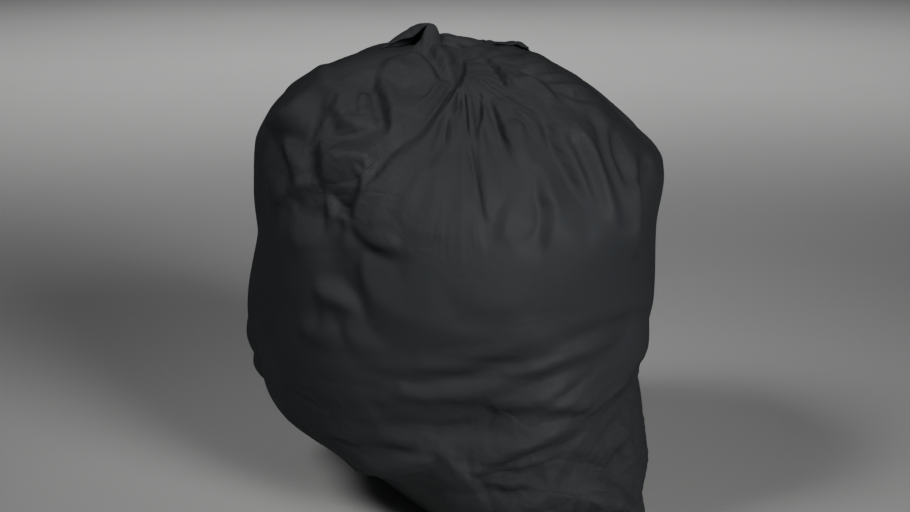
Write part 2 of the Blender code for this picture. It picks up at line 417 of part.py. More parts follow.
def smooth_row(table, at):
    """Rows of a table read at fractional row numbers, on a smooth curve through them."""
    table = np.asarray(table, float)
    last = len(table) - 1
    first = np.clip(np.floor(at).astype(int), 0, last - 1)
    t = (at - first).reshape((-1,) + (1,) * (table.ndim - 1))
    before, start, end, after = (table[np.clip(first + k, 0, last)] for k in (-1, 0, 1, 2))
    return 0.5 * (
        2 * start
        + (end - before) * t
        + (2 * before - 5 * start + 4 * end - after) * t**2
        + (3 * start - before - 3 * end + after) * t**3
    )


def ease(x, low, high):
    """0 below low, 1 above high, and smooth between."""
    t = np.clip((x - low) / (high - low), 0, 1)
    return t * t * (3 - 2 * t)


def stuffed_form(turn, level):
    """Points of the sack without its folds. turn is an angle, level a fractional ring number."""
    rings = smooth_row(RINGS, level.ravel()).reshape(*level.shape, 4, 2)
    left, right, front, back = (rings[..., k, :] for k in range(4))
    across, along = np.cos(turn), np.sin(turn)
    boxy = (abs(across) ** SQUARENESS + abs(along) ** SQUARENESS) ** (-1 / SQUARENESS)
    x = (left[..., 0] + right[..., 0]) / 2 + (right[..., 0] - left[..., 0]) / 2 * across * boxy
    y = (front[..., 0] + back[..., 0]) / 2 + (back[..., 0] - front[..., 0]) / 2 * along * boxy
    side = np.where(across > 0, right[..., 1], left[..., 1])
    face = np.where(along > 0, back[..., 1], front[..., 1])
    z = np.maximum(side * across**2 + face * along**2, 0)
    slewed = x * WIDTH / 2 - y * DEPTH / 2 * FOOT_SLEW * (1 - ease(z, 0, SLEW_TOP))
    return np.stack([slewed, y * DEPTH / 2, z * CROWN], axis=-1)


def outward(points):
    """Outward normals of a grid of points: rows run down from the neck, columns run round."""
    round_step = np.roll(points, -1, axis=1) - np.roll(points, 1, axis=1)
    down_step = np.gradient(points, axis=0)
    normal = np.cross(down_step, round_step)
    return normal / np.maximum(np.linalg.norm(normal, axis=-1, keepdims=True), 1e-12)


def net_height(places, lines):
    """Height at each place of the flat facets that stretch between the lines. A line is its heights
    at the start, in the middle and at the end, and its points."""
    points, heights, edges = [], [], []
    for start_middle_end, route in lines:
        at = np.linspace(0, len(route) - 1, 3 * len(route) - 2)
        start, middle, end = start_middle_end
        edges += [(k, k + 1) for k in range(len(points), len(points) + len(at) - 1)]
        points += smooth_row(route, at).tolist()
        heights += np.interp(at / at[-1], (0, 0.3, 0.7, 1), (start, middle, middle, end)).tolist()
    net = delaunay_2d_cdt([Vector(point) for point in points], edges, [], 0, MERGE)
    corners = np.array(net[0])
    nearest = [np.argmin(np.linalg.norm(np.array(points) - corner, axis=1)) for corner in corners]
    tall = np.array(heights)[nearest]

    x, y = places[..., 0], places[..., 1]
    result = np.zeros_like(x)
    for face in net[2]:
        (ax, ay), (bx, by), (cx, cy) = corners[list(face)]
        low, high = corners[list(face)].min(axis=0), corners[list(face)].max(axis=0)
        near = np.nonzero((x >= low[0]) & (x <= high[0]) & (y >= low[1]) & (y <= high[1]))
        area = (bx - ax) * (cy - ay) - (cx - ax) * (by - ay)
        first = ((bx - x[near]) * (cy - y[near]) - (cx - x[near]) * (by - y[near])) / area
        second = ((cx - x[near]) * (ay - y[near]) - (ax - x[near]) * (cy - y[near])) / area
        weights = np.stack([first, second, 1 - first - second], axis=-1)
        inside = weights.min(axis=-1) >= -MERGE
        at = tuple(index[inside] for index in near)
        result[at] = weights[inside] @ tall[list(face)]
    return result


def soften(height, passes):
    """The heights of a grid whose columns close round, averaged with their neighbours'."""
    for _ in range(passes):
        height = (np.roll(height, 1, axis=1) + 2 * height + np.roll(height, -1, axis=1)) / 4
        above = np.concatenate([height[:1], height[:-1]])
        below = np.concatenate([height[1:], height[-1:]])
        height = (above + 2 * height + below) / 4
    return height


# The front elevation's axes: towards the eye, to the right and up
EYE_BACK = np.array([0, -math.cos(EYE_ELEVATION), math.sin(EYE_ELEVATION)])
EYE_RIGHT = np.array([1.0, 0, 0])
EYE_UP = np.array([0, math.sin(EYE_ELEVATION), math.cos(EYE_ELEVATION)])


def front_view(points):
    """Where the points are on the front elevation, in metres across and up, and the way to the eye."""
    ray = points - np.array(EYE_TARGET) - EYE_DISTANCE * EYE_BACK
    scale = EYE_DISTANCE / -(ray @ EYE_BACK)
    across = (ray @ EYE_RIGHT) * scale
    height = (ray @ EYE_UP) * scale + EYE_TARGET[2] * EYE_UP[2]
    towards_eye = -ray / np.linalg.norm(ray, axis=-1, keepdims=True)
    return np.stack([across, height], axis=-1), towards_eye


def gather_pleats(turn, level):
    """The fine pleats that the knot pulls into the film all round the neck."""
    warped = turn + 0.10 * np.sin(3 * turn + 1) + 0.06 * np.sin(7 * turn + 2.3)
    broad = abs(np.sin(9 * warped + 0.35 * level)) - 0.64
    fine = abs(np.sin(15 * warped - 0.5 * level)) - 0.64
    broad_reach = ease(level, 0.3, 2.2) * ease(-level, -6.2, -2.6)
    fine_reach = ease(level, 0.1, 1.0) * ease(-level, -3.4, -1.2)
    return 9 * MM * broad * broad_reach + 5 * MM * fine * fine_reach


def lumps(points):
    """Gentle bulges where the rubbish inside presses on the film."""
    x, y, z = (points[..., k] for k in range(3))
    slow = np.sin(19 * x + 1.1) * np.sin(23 * z + 0.6) + np.sin(21 * y + 2.0) * np.sin(17 * z - 1.3)
    quick = np.sin(41 * x - 13 * y + 0.4) * np.sin(37 * z + 2.2)
    return 2.5 * MM * slow + 1.2 * MM * quick


def add_folds(form, turn, level):
    """The form's points with its lumps, pleats and creases."""
    normal = outward(form)
    places, towards_eye = front_view(form)
    facing = ease((normal * towards_eye).sum(axis=-1), -0.06, 0.08)
    front = [(heights, np.array(route) * (WIDTH / 2, CROWN)) for _, heights, route in FRONT_CREASES]
    lap = 2 * math.pi
    around = [
        (heights, [((math.radians(angle) + k * lap) * WIDTH / 2, up * CROWN) for angle, up in route])
        for k in (-1, 0, 1)
        for heights, route in ROUND_CREASES
    ]
    round_places = np.stack([turn * WIDTH / 2, form[..., 2]], axis=-1)
    creases = facing * net_height(places, front) + (1 - facing) * net_height(round_places, around)
    creases = soften(creases, SOFT_PASSES)
    height = lumps(form) + gather_pleats(turn, level) * (1 - facing) + creases * MM

    rising = ease(level, 0, 0.12) * ease(form[..., 2], 0, 12 * MM)
    film = form + normal * (height * rising)[..., None]
    film[..., 2] = np.maximum(film[..., 2], 0)
    film[-1, :, 2] = 0
    return film


def folded_film():
    """Grid of points of the sack with its folds, from the neck down to the edge on the floor."""
    turn, level = np.meshgrid(
        np.linspace(0, 2 * math.pi, COLUMNS, endpoint=False),
        np.linspace(0, len(RINGS) - 1, ROWS),
    )
    return add_folds(stuffed_form(turn, level), turn, level)


def closed_mesh(name, grid):
    """A mesh of a grid whose columns close round, with a fan of faces over each end."""
    rows, columns = grid.shape[:2]
    mesh = bmesh.new()
    verts = [[mesh.verts.new(point) for point in row] for row in grid]
    for upper, lower in zip(verts[:-1], verts[1:]):
        for k in range(columns):
            nxt = (k + 1) % columns
            mesh.faces.new((upper[k], lower[k], lower[nxt], upper[nxt]))
    for ring in (verts[0], verts[-1]):
        centre = mesh.verts.new(sum((v.co for v in ring), ring[0].co * 0) / columns)
        for k in range(columns):
            mesh.faces.new((centre, ring[k], ring[(k + 1) % columns]))
    bmesh.ops.recalc_face_normals(mesh, faces=mesh.faces)
    data = bpy.data.meshes.new(name)
    mesh.to_mesh(data)
    mesh.free()
    obj = bpy.data.objects.new(name, data)
    bpy.context.scene.collection.objects.link(obj)
    return obj


def knot_rope(rows=14, columns=20):
    """The knot, a rope of gathered film along its centre line, with a few soft pleats."""
    at = np.linspace(0, len(KNOT) - 1, rows)
    line = smooth_row([point for point, _ in KNOT], at) * MM
    radius = smooth_row([[r] for _, r in KNOT], at)[:, 0] * MM
    radius *= np.sqrt(np.clip(1 - (2 * at / at[-1] - 1) ** 6, 0.05, 1))
    forward = np.gradient(line, axis=0)
    forward /= np.linalg.norm(forward, axis=1, keepdims=True)
    aside = np.cross(forward, (0, 0, 1))
    aside /= np.linalg.norm(aside, axis=1, keepdims=True)
    over = np.cross(aside, forward)
    turn = np.linspace(0, 2 * math.pi, columns, endpoint=False)
    reach = radius[:, None] * (1 + 0.06 * np.sin(5 * turn + 0.9))
    sideways = (reach * np.cos(turn))[..., None] * aside[:, None]
    upward = (reach * np.sin(turn))[..., None] * over[:, None]
    return closed_mesh("knot", line[:, None] + sideways + upward)


def ear(name, stations, rows, columns):
    """A curled flap of film through closed loops of points, solid down to its root in the sack."""
    along = smooth_row(stations, np.linspace(0, len(stations) - 1, rows)) * MM
    count = along.shape[1]
    wrapped = np.concatenate([along[:, -1:], along, along[:, :2]], axis=1).transpose(1, 0, 2)
    around = smooth_row(wrapped, 1 + np.linspace(0, count, columns, endpoint=False))
    return closed_mesh(name, around.transpose(1, 0, 2))


def film_material():
    """Black polyethylene film with a dull sheen."""
    material = bpy.data.materials.new("black film")
    material.use_nodes = True
    shader = material.node_tree.nodes["Principled BSDF"]
    shader.inputs["Base Color"].default_value = (0.022, 0.024, 0.027, 1)
    shader.inputs["Roughness"].default_value = 0.45
    shader.inputs["Metallic"].default_value = 0.0
    material.diffuse_color = (0.022, 0.024, 0.027, 1)
    return material


def thin_out(obj, share):
    """Fewer faces where the film is smooth. The floor face keeps its own points."""
    group = obj.vertex_groups.new(name="thinned")
    group.add([v.index for v in obj.data.vertices if v.co.z > 0.5 * MM], 1.0, "REPLACE")
    thin = obj.modifiers.new("thin out", "DECIMATE")
    thin.ratio = share
    thin.vertex_group = group.name
    thin.use_collapse_triangulate = True


def join_on(obj, piece):
    """Unites the piece with the object, so that the two are one solid."""
    union = obj.modifiers.new(piece.name, "BOOLEAN")
    union.operation = "UNION"
    union.object = piece
    piece.hide_render = True
    piece.display_type = "WIRE"


def main():
    for obj in list(bpy.data.objects):
        bpy.data.objects.remove(obj)
    sack = closed_mesh("sack", folded_film())
    sack.data.materials.append(film_material())
    thin_out(sack, KEPT_SHARE)
    join_on(sack, knot_rope())
    join_on(sack, ear("left ear", LEFT_EAR, 20, 30))
    join_on(sack, ear("right ear", RIGHT_EAR, 14, 24))
    sack.data.shade_smooth()


main()
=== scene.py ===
import math

import bpy
import numpy as np
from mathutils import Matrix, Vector, noise
from mathutils.geometry import delaunay_2d_cdt


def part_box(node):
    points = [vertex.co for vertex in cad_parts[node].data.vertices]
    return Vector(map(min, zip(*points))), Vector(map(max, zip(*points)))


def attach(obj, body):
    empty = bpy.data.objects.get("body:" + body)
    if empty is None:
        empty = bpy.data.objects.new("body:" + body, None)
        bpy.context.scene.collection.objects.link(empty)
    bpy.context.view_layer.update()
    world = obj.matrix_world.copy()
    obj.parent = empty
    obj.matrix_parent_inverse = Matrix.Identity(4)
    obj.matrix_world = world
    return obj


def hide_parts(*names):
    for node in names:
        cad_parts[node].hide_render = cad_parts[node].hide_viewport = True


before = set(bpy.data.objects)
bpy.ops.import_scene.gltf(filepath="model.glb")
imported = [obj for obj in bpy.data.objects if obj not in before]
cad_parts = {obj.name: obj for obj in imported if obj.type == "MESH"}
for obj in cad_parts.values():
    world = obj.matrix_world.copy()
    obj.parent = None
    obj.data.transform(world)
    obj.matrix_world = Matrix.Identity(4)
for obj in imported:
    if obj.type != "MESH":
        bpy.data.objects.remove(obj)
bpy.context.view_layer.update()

# ---------------------------------------------------------------------------------------------------
# The stuffed film. One sack of blown black polyethylene about 30 microns thick, filled until it stands
# up like a drum. The film is taut over the belly, hangs slack below it and is pulled into pleats at the
# top, where the mouth is tied.
# ---------------------------------------------------------------------------------------------------

MM = 0.001
KNOT_RISE = 0.0203  # the knot's and the ears' height over the crown of the film
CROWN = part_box("sack")[1].z - KNOT_RISE
WIDTH = 0.460  # left to right over the belly
DEPTH = 0.436  # front to back over the belly
SQUARENESS = 2.35  # 2 makes every ring of the sack an ellipse, and more makes it boxier
FOOT_SLEW = 0.30  # how far the front of the foot is dragged to the right, for each metre forward
SLEW_TOP = 0.50  # the part of the crown height where that has died out
FLAT_FOOT = 12 * MM  # the folds die out over this height above the floor

# The front folds are laid out as someone sees them who stands in front and looks slightly down.
EYE_DISTANCE = 2.10  # metres from what is looked at
EYE_ELEVATION = math.radians(15)
EYE_TARGET = (0.0, 0.0, 0.27)

# The sack's rings from the neck down to the floor. Each has its left, right, front and back point,
# as (reach in half widths or half depths, height in crown heights).
RINGS = [
    ((0.010, 0.995), (0.036, 0.995), (0.055, 0.994), (0.085, 0.996)),
    ((-0.16, 0.984), (0.20, 0.978), (-0.24, 0.948), (0.17, 0.995)),
    ((-0.36, 0.976), (0.37, 0.966), (-0.43, 0.916), (0.34, 0.986)),
    ((-0.58, 0.942), (0.56, 0.918), (-0.63, 0.862), (0.56, 0.946)),
    ((-0.785, 0.895), (0.71, 0.856), (-0.78, 0.792), (0.75, 0.872)),
    ((-0.88, 0.834), (0.85, 0.798), (-0.89, 0.710), (0.88, 0.786)),
    ((-0.92, 0.762), (0.970, 0.736), (-0.95, 0.620), (0.95, 0.682)),
    ((-0.94, 0.615), (0.950, 0.622), (-0.985, 0.505), (0.985, 0.545)),
    ((-0.965, 0.465), (0.92, 0.462), (-1.000, 0.386), (1.000, 0.405)),
    ((-0.955, 0.335), (0.835, 0.345), (-0.975, 0.278), (0.975, 0.278)),
    ((-0.910, 0.222), (0.850, 0.238), (-0.945, 0.175), (0.905, 0.170)),
    ((-0.620, 0.116), (0.850, 0.122), (-0.880, 0.082), (0.825, 0.076)),
    ((-0.400, 0.040), (0.800, 0.035), (-0.800, 0.022), (0.740, 0.020)),
    ((-0.200, 0.000), (0.745, 0.000), (-0.680, 0.000), (0.650, 0.000)),
]

# The crests and creases of the front: name, heights in mm at the start, in the middle and at the end
# (below 0 is a crease), and the line, as (half widths across, crown heights up). The film is nearly
# flat between one line and the next.
FRONT_CREASES = [
    # the knot and the film beside it
    ("knot crease", (-3, -5, -3), [(-0.15, 0.955), (-0.13, 0.945), (-0.1, 0.925), (-0.06, 0.905)]),
    ("knot fold", (4, 11, 5), [(-0.13, 0.965), (-0.11, 0.95), (-0.07, 0.93), (-0.04, 0.915)]),
    ("knot back", (0, 1, 0), [(-0.08, 0.975), (-0.04, 0.965), (0, 0.945)]),
    ("front lobe", (3, 7, 3), [
        (-0.25, 0.95), (-0.21, 0.95), (-0.16, 0.935), (-0.12, 0.915), (-0.11, 0.89),
    ]),
    ("lozenge", (3, 9, 4), [(-0.34, 0.935), (-0.31, 0.925), (-0.26, 0.915), (-0.22, 0.915)]),
    ("under the lozenge", (-1, -3, -1), [(-0.31, 0.9), (-0.26, 0.89), (-0.22, 0.89)]),
    ("lobe side", (1, 2, 1), [(-0.25, 0.865), (-0.2, 0.86), (-0.15, 0.865)]),
    # the tongue of film that laps over the left side
    ("tongue crease", (-2, -4, -3), [
        (0.02, 0.95), (0.03, 0.93), (0.01, 0.91), (-0.01, 0.895), (-0.05, 0.875), (-0.09, 0.85),
        (-0.13, 0.825), (-0.19, 0.79), (-0.25, 0.765), (-0.31, 0.745), (-0.34, 0.73),
        (-0.38, 0.71), (-0.41, 0.685),
    ]),
    ("tongue edge", (-3, 3, -2), [
        (-0.41, 0.685), (-0.44, 0.665), (-0.48, 0.64), (-0.5, 0.615), (-0.5, 0.59), (-0.49, 0.565),
        (-0.46, 0.545),
    ]),
    ("under the tongue", (1, -3, -1), [
        (-0.46, 0.545), (-0.43, 0.535), (-0.39, 0.525), (-0.34, 0.515), (-0.3, 0.51),
        (-0.26, 0.515),
    ]),
    ("tongue rim", (2, 5, 5), [
        (0.05, 0.93), (0.04, 0.9), (0.01, 0.875), (-0.03, 0.85), (-0.07, 0.825), (-0.11, 0.8),
        (-0.16, 0.77), (-0.22, 0.745), (-0.28, 0.72), (-0.34, 0.695), (-0.39, 0.67),
    ]),
    ("tongue edge rim", (6, 5, 4), [
        (-0.4, 0.675), (-0.43, 0.655), (-0.46, 0.63), (-0.48, 0.61), (-0.48, 0.59), (-0.47, 0.57),
        (-0.44, 0.555),
    ]),
    ("tongue foot rim", (4, 6, 2), [
        (-0.44, 0.555), (-0.4, 0.54), (-0.36, 0.535), (-0.32, 0.535), (-0.27, 0.54),
    ]),
    ("tongue crest", (4, 6, 5), [
        (-0.1, 0.795), (-0.17, 0.76), (-0.24, 0.725), (-0.3, 0.69), (-0.34, 0.65), (-0.38, 0.61),
        (-0.4, 0.575),
    ]),
    ("tongue groove", (2, 3, 3), [
        (-0.12, 0.745), (-0.19, 0.71), (-0.24, 0.675), (-0.28, 0.64), (-0.33, 0.61),
    ]),
    ("tongue inner crest", (3, 6, 3), [
        (-0.09, 0.72), (-0.16, 0.69), (-0.21, 0.655), (-0.25, 0.625), (-0.28, 0.585),
    ]),
    ("strip", (2, 5, 2), [(-0.06, 0.895), (-0.11, 0.875), (-0.16, 0.85), (-0.21, 0.83), (-0.23, 0.81)]),
    ("strip low", (2, 6, 3), [
        (-0.29, 0.78), (-0.35, 0.76), (-0.4, 0.74), (-0.43, 0.715), (-0.45, 0.685), (-0.47, 0.66),
    ]),
    # the angular folds of the left shoulder
    ("shoulder lip", (2, 9, 3), [
        (-0.89, 0.805), (-0.84, 0.815), (-0.78, 0.825), (-0.74, 0.84), (-0.72, 0.865),
    ]),
    ("above the lip", (0, 0, 0), [(-0.84, 0.845), (-0.8, 0.865), (-0.76, 0.88)]),
    ("under the lip", (-4, -6, -2), [(-0.83, 0.78), (-0.77, 0.775), (-0.71, 0.78), (-0.67, 0.785)]),
    ("side crease", (-3, -7, -3), [
        (-0.91, 0.79), (-0.89, 0.765), (-0.86, 0.74), (-0.83, 0.705), (-0.81, 0.68),
    ]),
    ("side lip", (0, 3, 1), [(-0.83, 0.765), (-0.81, 0.74), (-0.79, 0.71), (-0.78, 0.685)]),
    ("quad foot", (3, 4, 3), [(-0.78, 0.715), (-0.74, 0.715), (-0.7, 0.72)]),
    ("side facet", (0, 1, 0), [(-0.94, 0.745), (-0.92, 0.71), (-0.91, 0.67), (-0.92, 0.635)]),
    ("side shadow", (-1, -4, -2), [(-0.87, 0.62), (-0.79, 0.635), (-0.72, 0.65), (-0.67, 0.665)]),
    ("sill", (1, 3, 2), [(-0.89, 0.63), (-0.81, 0.65), (-0.75, 0.665), (-0.69, 0.68), (-0.65, 0.68)]),
    ("pocket edge", (-2, -5, -3), [(-0.7, 0.75), (-0.7, 0.73), (-0.7, 0.71), (-0.7, 0.685)]),
    ("pocket", (-1, -2, -1), [(-0.67, 0.75), (-0.67, 0.72), (-0.67, 0.685)]),
    ("pocket rim", (4, 7, 3), [
        (-0.64, 0.755), (-0.63, 0.74), (-0.63, 0.715), (-0.63, 0.695), (-0.64, 0.68),
    ]),
    ("band shadow", (-2, -4, -1), [
        (-0.65, 0.78), (-0.59, 0.775), (-0.53, 0.775), (-0.46, 0.78), (-0.4, 0.79),
    ]),
    ("band", (6, 11, 8), [(-0.62, 0.73), (-0.56, 0.73), (-0.5, 0.73), (-0.44, 0.73)]),
    ("recess floor", (-7, -12, -6), [(-0.6, 0.63), (-0.56, 0.625), (-0.51, 0.61)]),
    ("recess right", (3, -5, -6), [(-0.44, 0.71), (-0.45, 0.685), (-0.48, 0.66), (-0.51, 0.63)]),
    ("upright crease", (-5, -6, -2), [(-0.66, 0.665), (-0.65, 0.635), (-0.65, 0.6), (-0.65, 0.565)]),
    ("upright lip", (-3, -2, 0), [(-0.62, 0.66), (-0.62, 0.625), (-0.62, 0.595), (-0.62, 0.565)]),
    ("low facet", (2, 4, 2), [(-0.81, 0.555), (-0.74, 0.55), (-0.67, 0.555)]),
    ("upright fold", (-2, 2, 1), [(-0.55, 0.58), (-0.56, 0.56), (-0.58, 0.54), (-0.59, 0.525)]),
    ("beside the tongue", (1, 4, 0), [(-0.53, 0.605), (-0.53, 0.575), (-0.53, 0.545), (-0.54, 0.52)]),
    ("peak top", (2, 3, 2), [(-0.44, 0.9), (-0.41, 0.915), (-0.37, 0.905)]),
    ("peak crease", (-7, -8, -3), [
        (-0.41, 0.9), (-0.41, 0.88), (-0.39, 0.86), (-0.37, 0.835), (-0.36, 0.815), (-0.34, 0.795),
    ]),
    ("hook fold", (4, 8, 5), [
        (-0.36, 0.895), (-0.34, 0.87), (-0.32, 0.845), (-0.31, 0.815), (-0.31, 0.79),
    ]),
    ("drop right", (3, 9, 2), [
        (-0.49, 0.905), (-0.53, 0.88), (-0.56, 0.855), (-0.55, 0.83), (-0.53, 0.81), (-0.49, 0.8),
        (-0.45, 0.81), (-0.4, 0.815),
    ]),
    ("drop right hollow", (1, 1, 1), [(-0.48, 0.87), (-0.48, 0.845), (-0.49, 0.825)]),
    ("drop right second", (3, 7, 4), [(-0.43, 0.865), (-0.45, 0.845), (-0.46, 0.825)]),
    ("drop left", (3, 9, 4), [(-0.57, 0.89), (-0.61, 0.875), (-0.63, 0.86)]),
    ("drop left tail", (2, 4, 1), [(-0.57, 0.85), (-0.59, 0.83), (-0.6, 0.815)]),
    ("beside the drops", (-1, -3, -1), [(-0.66, 0.83), (-0.66, 0.81), (-0.66, 0.79)]),
    ("drop edge", (1, 2, 1), [(-0.63, 0.83), (-0.63, 0.81), (-0.63, 0.795)]),
    # pleats that fan out of the knot
    ("upper crease", (-1, -4, -3), [
        (0.11, 0.945), (0.16, 0.93), (0.2, 0.91), (0.24, 0.885), (0.3, 0.87), (0.35, 0.855),
        (0.39, 0.84),
    ]),
    ("upper lip", (2, 4, 3), [
        (0.13, 0.95), (0.18, 0.935), (0.23, 0.915), (0.28, 0.895), (0.33, 0.88), (0.38, 0.865),
        (0.42, 0.845),
    ]),
    ("main crease", (-3, -7, -3), [
        (0.41, 0.83), (0.43, 0.8), (0.45, 0.77), (0.48, 0.74), (0.52, 0.71), (0.55, 0.68),
        (0.58, 0.65), (0.62, 0.62),
    ]),
    ("main lip", (3, 4, 1), [
        (0.44, 0.83), (0.46, 0.805), (0.48, 0.775), (0.52, 0.745), (0.55, 0.72), (0.58, 0.69),
        (0.61, 0.66), (0.65, 0.63),
    ]),
    ("main pleat", (3, 7, 4), [(0.32, 0.915), (0.39, 0.885), (0.45, 0.86)]),
    ("main fold", (3, 9, 4), [
        (0.45, 0.82), (0.51, 0.8), (0.57, 0.78), (0.62, 0.75), (0.65, 0.72), (0.68, 0.68),
        (0.71, 0.645), (0.74, 0.61),
    ]),
    ("main fold foot", (0, -2, 0), [
        (0.54, 0.77), (0.59, 0.745), (0.62, 0.71), (0.65, 0.675), (0.68, 0.635), (0.71, 0.605),
    ]),
    ("main far crease", (-1, -3, -1), [
        (0.48, 0.865), (0.56, 0.835), (0.63, 0.82), (0.68, 0.795), (0.69, 0.765), (0.71, 0.73),
        (0.74, 0.69), (0.77, 0.655), (0.79, 0.615),
    ]),
    ("main far lip", (1, 3, 1), [
        (0.5, 0.87), (0.57, 0.845), (0.65, 0.83), (0.7, 0.805), (0.71, 0.77), (0.73, 0.735),
        (0.76, 0.695), (0.79, 0.66), (0.82, 0.625),
    ]),
    ("second crease", (-1, -3, -2), [(0.24, 0.845), (0.28, 0.825), (0.33, 0.8), (0.36, 0.78)]),
    ("second lip", (1, 3, 2), [(0.26, 0.855), (0.3, 0.83), (0.34, 0.81), (0.38, 0.79)]),
    ("lobe crest", (2, 5, 2), [(0.3, 0.81), (0.3, 0.78), (0.32, 0.745)]),
    ("lobe crease", (-1, -3, -1), [(0.39, 0.78), (0.4, 0.755), (0.38, 0.73)]),
    ("third crease", (-1, -4, -2), [
        (0.15, 0.86), (0.18, 0.83), (0.2, 0.8), (0.21, 0.775), (0.23, 0.745), (0.24, 0.72),
    ]),
    ("third lip", (1, 3, 1), [
        (0.18, 0.865), (0.2, 0.835), (0.22, 0.805), (0.23, 0.78), (0.26, 0.75), (0.27, 0.725),
    ]),
    ("fourth crease", (-1, -4, -2), [
        (0.1, 0.87), (0.11, 0.84), (0.1, 0.815), (0.09, 0.785), (0.1, 0.755),
    ]),
    ("fourth lip", (1, 3, 1), [
        (0.12, 0.875), (0.13, 0.84), (0.12, 0.815), (0.11, 0.785), (0.12, 0.755),
    ]),
    ("fifth crease", (-1, -2, -1), [(0.04, 0.825), (0.04, 0.795), (0.03, 0.765)]),
    ("fifth lip", (1, 2, 1), [(0.06, 0.83), (0.06, 0.8), (0.06, 0.765)]),
    ("gather shade", (-1, -3, -1), [(0.01, 0.86), (0, 0.845), (-0.02, 0.83)]),
    ("gather lip", (2, 3, 1), [(0.05, 0.88), (0.06, 0.86), (0.06, 0.84)]),
    ("sixth crease", (-1, -4, -1), [(-0.05, 0.815), (-0.05, 0.785), (-0.06, 0.75)]),
    ("sixth lip", (1, 3, 1), [(-0.02, 0.815), (-0.02, 0.785), (-0.03, 0.75)]),
    ("low crease", (-1, -2, -1), [(0.1, 0.71), (0.1, 0.66), (0.11, 0.61)]),
    ("low lip", (1, 2, 1), [(0.13, 0.71), (0.13, 0.66), (0.13, 0.61)]),
    ("slant crease", (-1, -2, -1), [(0.22, 0.635), (0.19, 0.595), (0.17, 0.56)]),
    ("slant lip", (1, 2, 1), [(0.25, 0.63), (0.23, 0.595), (0.2, 0.56)]),
    ("small notch", (-1, -2, -1), [(0.36, 0.68), (0.36, 0.63), (0.37, 0.585)]),
    ("small notch lip", (1, 1, 1), [(0.39, 0.68), (0.4, 0.64)]),
    ("notch", (-1, -5, -1), [(0.38, 0.71), (0.39, 0.66), (0.4, 0.61), (0.39, 0.565), (0.4, 0.53)]),
    ("notch lip", (1, 4, 1), [(0.42, 0.7), (0.44, 0.655), (0.46, 0.61), (0.44, 0.57), (0.43, 0.53)]),
    ("high lip", (0, 3, 1), [(0.3, 0.93), (0.35, 0.93), (0.42, 0.93), (0.5, 0.93)]),
    ("high crease", (-1, -4, -1), [(0.3, 0.92), (0.35, 0.915), (0.42, 0.92), (0.5, 0.92)]),
    ("back lip", (0, 2, 0), [(0.39, 0.915), (0.46, 0.91), (0.54, 0.91)]),
    ("back crease", (0, -2, 0), [(0.39, 0.905), (0.46, 0.9), (0.54, 0.9)]),
    ("side lip right", (1, 4, 1), [(0.45, 0.89), (0.51, 0.885), (0.57, 0.88), (0.64, 0.865)]),
    ("side crease right", (-1, -5, -1), [(0.45, 0.88), (0.51, 0.875), (0.56, 0.865), (0.63, 0.855)]),
    ("right facet", (0, 1, 0), [(0.65, 0.855), (0.71, 0.84), (0.77, 0.815)]),
    ("edge crease a", (-1, -5, -1), [
        (0.74, 0.785), (0.75, 0.755), (0.77, 0.73), (0.8, 0.695), (0.83, 0.665),
    ]),
    ("edge lip a", (1, 3, 1), [(0.76, 0.79), (0.78, 0.76), (0.8, 0.73), (0.83, 0.705), (0.86, 0.675)]),
    ("edge pleat", (1, 2, 1), [(0.81, 0.645), (0.84, 0.62), (0.86, 0.59)]),
    ("edge crest b", (3, 7, 4), [(0.84, 0.74), (0.85, 0.69), (0.86, 0.64), (0.86, 0.58), (0.86, 0.53)]),
    ("edge hollow b", (-5, -8, -4), [
        (0.89, 0.72), (0.9, 0.68), (0.91, 0.63), (0.91, 0.575), (0.91, 0.53),
    ]),
    ("edge facet b", (1, 2, 0), [(0.89, 0.75), (0.92, 0.73), (0.93, 0.71)]),
    # the smooth belly and the curl beside it
    ("belly upper", (0, 0, 0), [
        (-0.22, 0.51), (-0.08, 0.54), (0.06, 0.545), (0.23, 0.535), (0.35, 0.505), (0.5, 0.495),
        (0.67, 0.55), (0.82, 0.575),
    ]),
    ("belly middle", (0, 0, 0), [
        (-0.25, 0.46), (-0.03, 0.475), (0.25, 0.475), (0.54, 0.475), (0.82, 0.505),
    ]),
    ("belly edge", (1, 3, 0), [
        (-0.46, 0.5), (-0.44, 0.46), (-0.4, 0.425), (-0.33, 0.4), (-0.24, 0.38), (-0.14, 0.365),
        (-0.01, 0.35), (0.13, 0.34),
    ]),
    ("belly side", (-3, -4, -2), [
        (-0.5, 0.505), (-0.49, 0.465), (-0.48, 0.43), (-0.46, 0.395), (-0.42, 0.355),
        (-0.33, 0.32), (-0.23, 0.3),
    ]),
    ("below the belly", (-1, -1, 0), [(-0.18, 0.31), (-0.06, 0.305), (0.09, 0.31), (0.21, 0.32)]),
    ("curl stem", (2, 3, 3), [(-0.61, 0.515), (-0.64, 0.49), (-0.66, 0.465)]),
    ("curl crease", (-4, -7, -3), [(-0.62, 0.47), (-0.57, 0.455), (-0.53, 0.44), (-0.48, 0.415)]),
    ("curl pocket", (-3, -6, -5), [(-0.59, 0.49), (-0.55, 0.47), (-0.51, 0.445)]),
    ("curl", (3, 6, 3), [(-0.68, 0.445), (-0.64, 0.43), (-0.59, 0.425), (-0.54, 0.415), (-0.5, 0.405)]),
    ("under the curl", (-1, -1, -1), [(-0.68, 0.415), (-0.62, 0.405), (-0.55, 0.395), (-0.48, 0.39)]),
    ("side sag a", (-2, -1, -2), [
        (-0.65, 0.375), (-0.58, 0.355), (-0.52, 0.335), (-0.47, 0.32), (-0.41, 0.32),
    ]),
    ("side sag crease", (-3, -5, -3), [(-0.71, 0.39), (-0.65, 0.375), (-0.57, 0.355), (-0.53, 0.325)]),
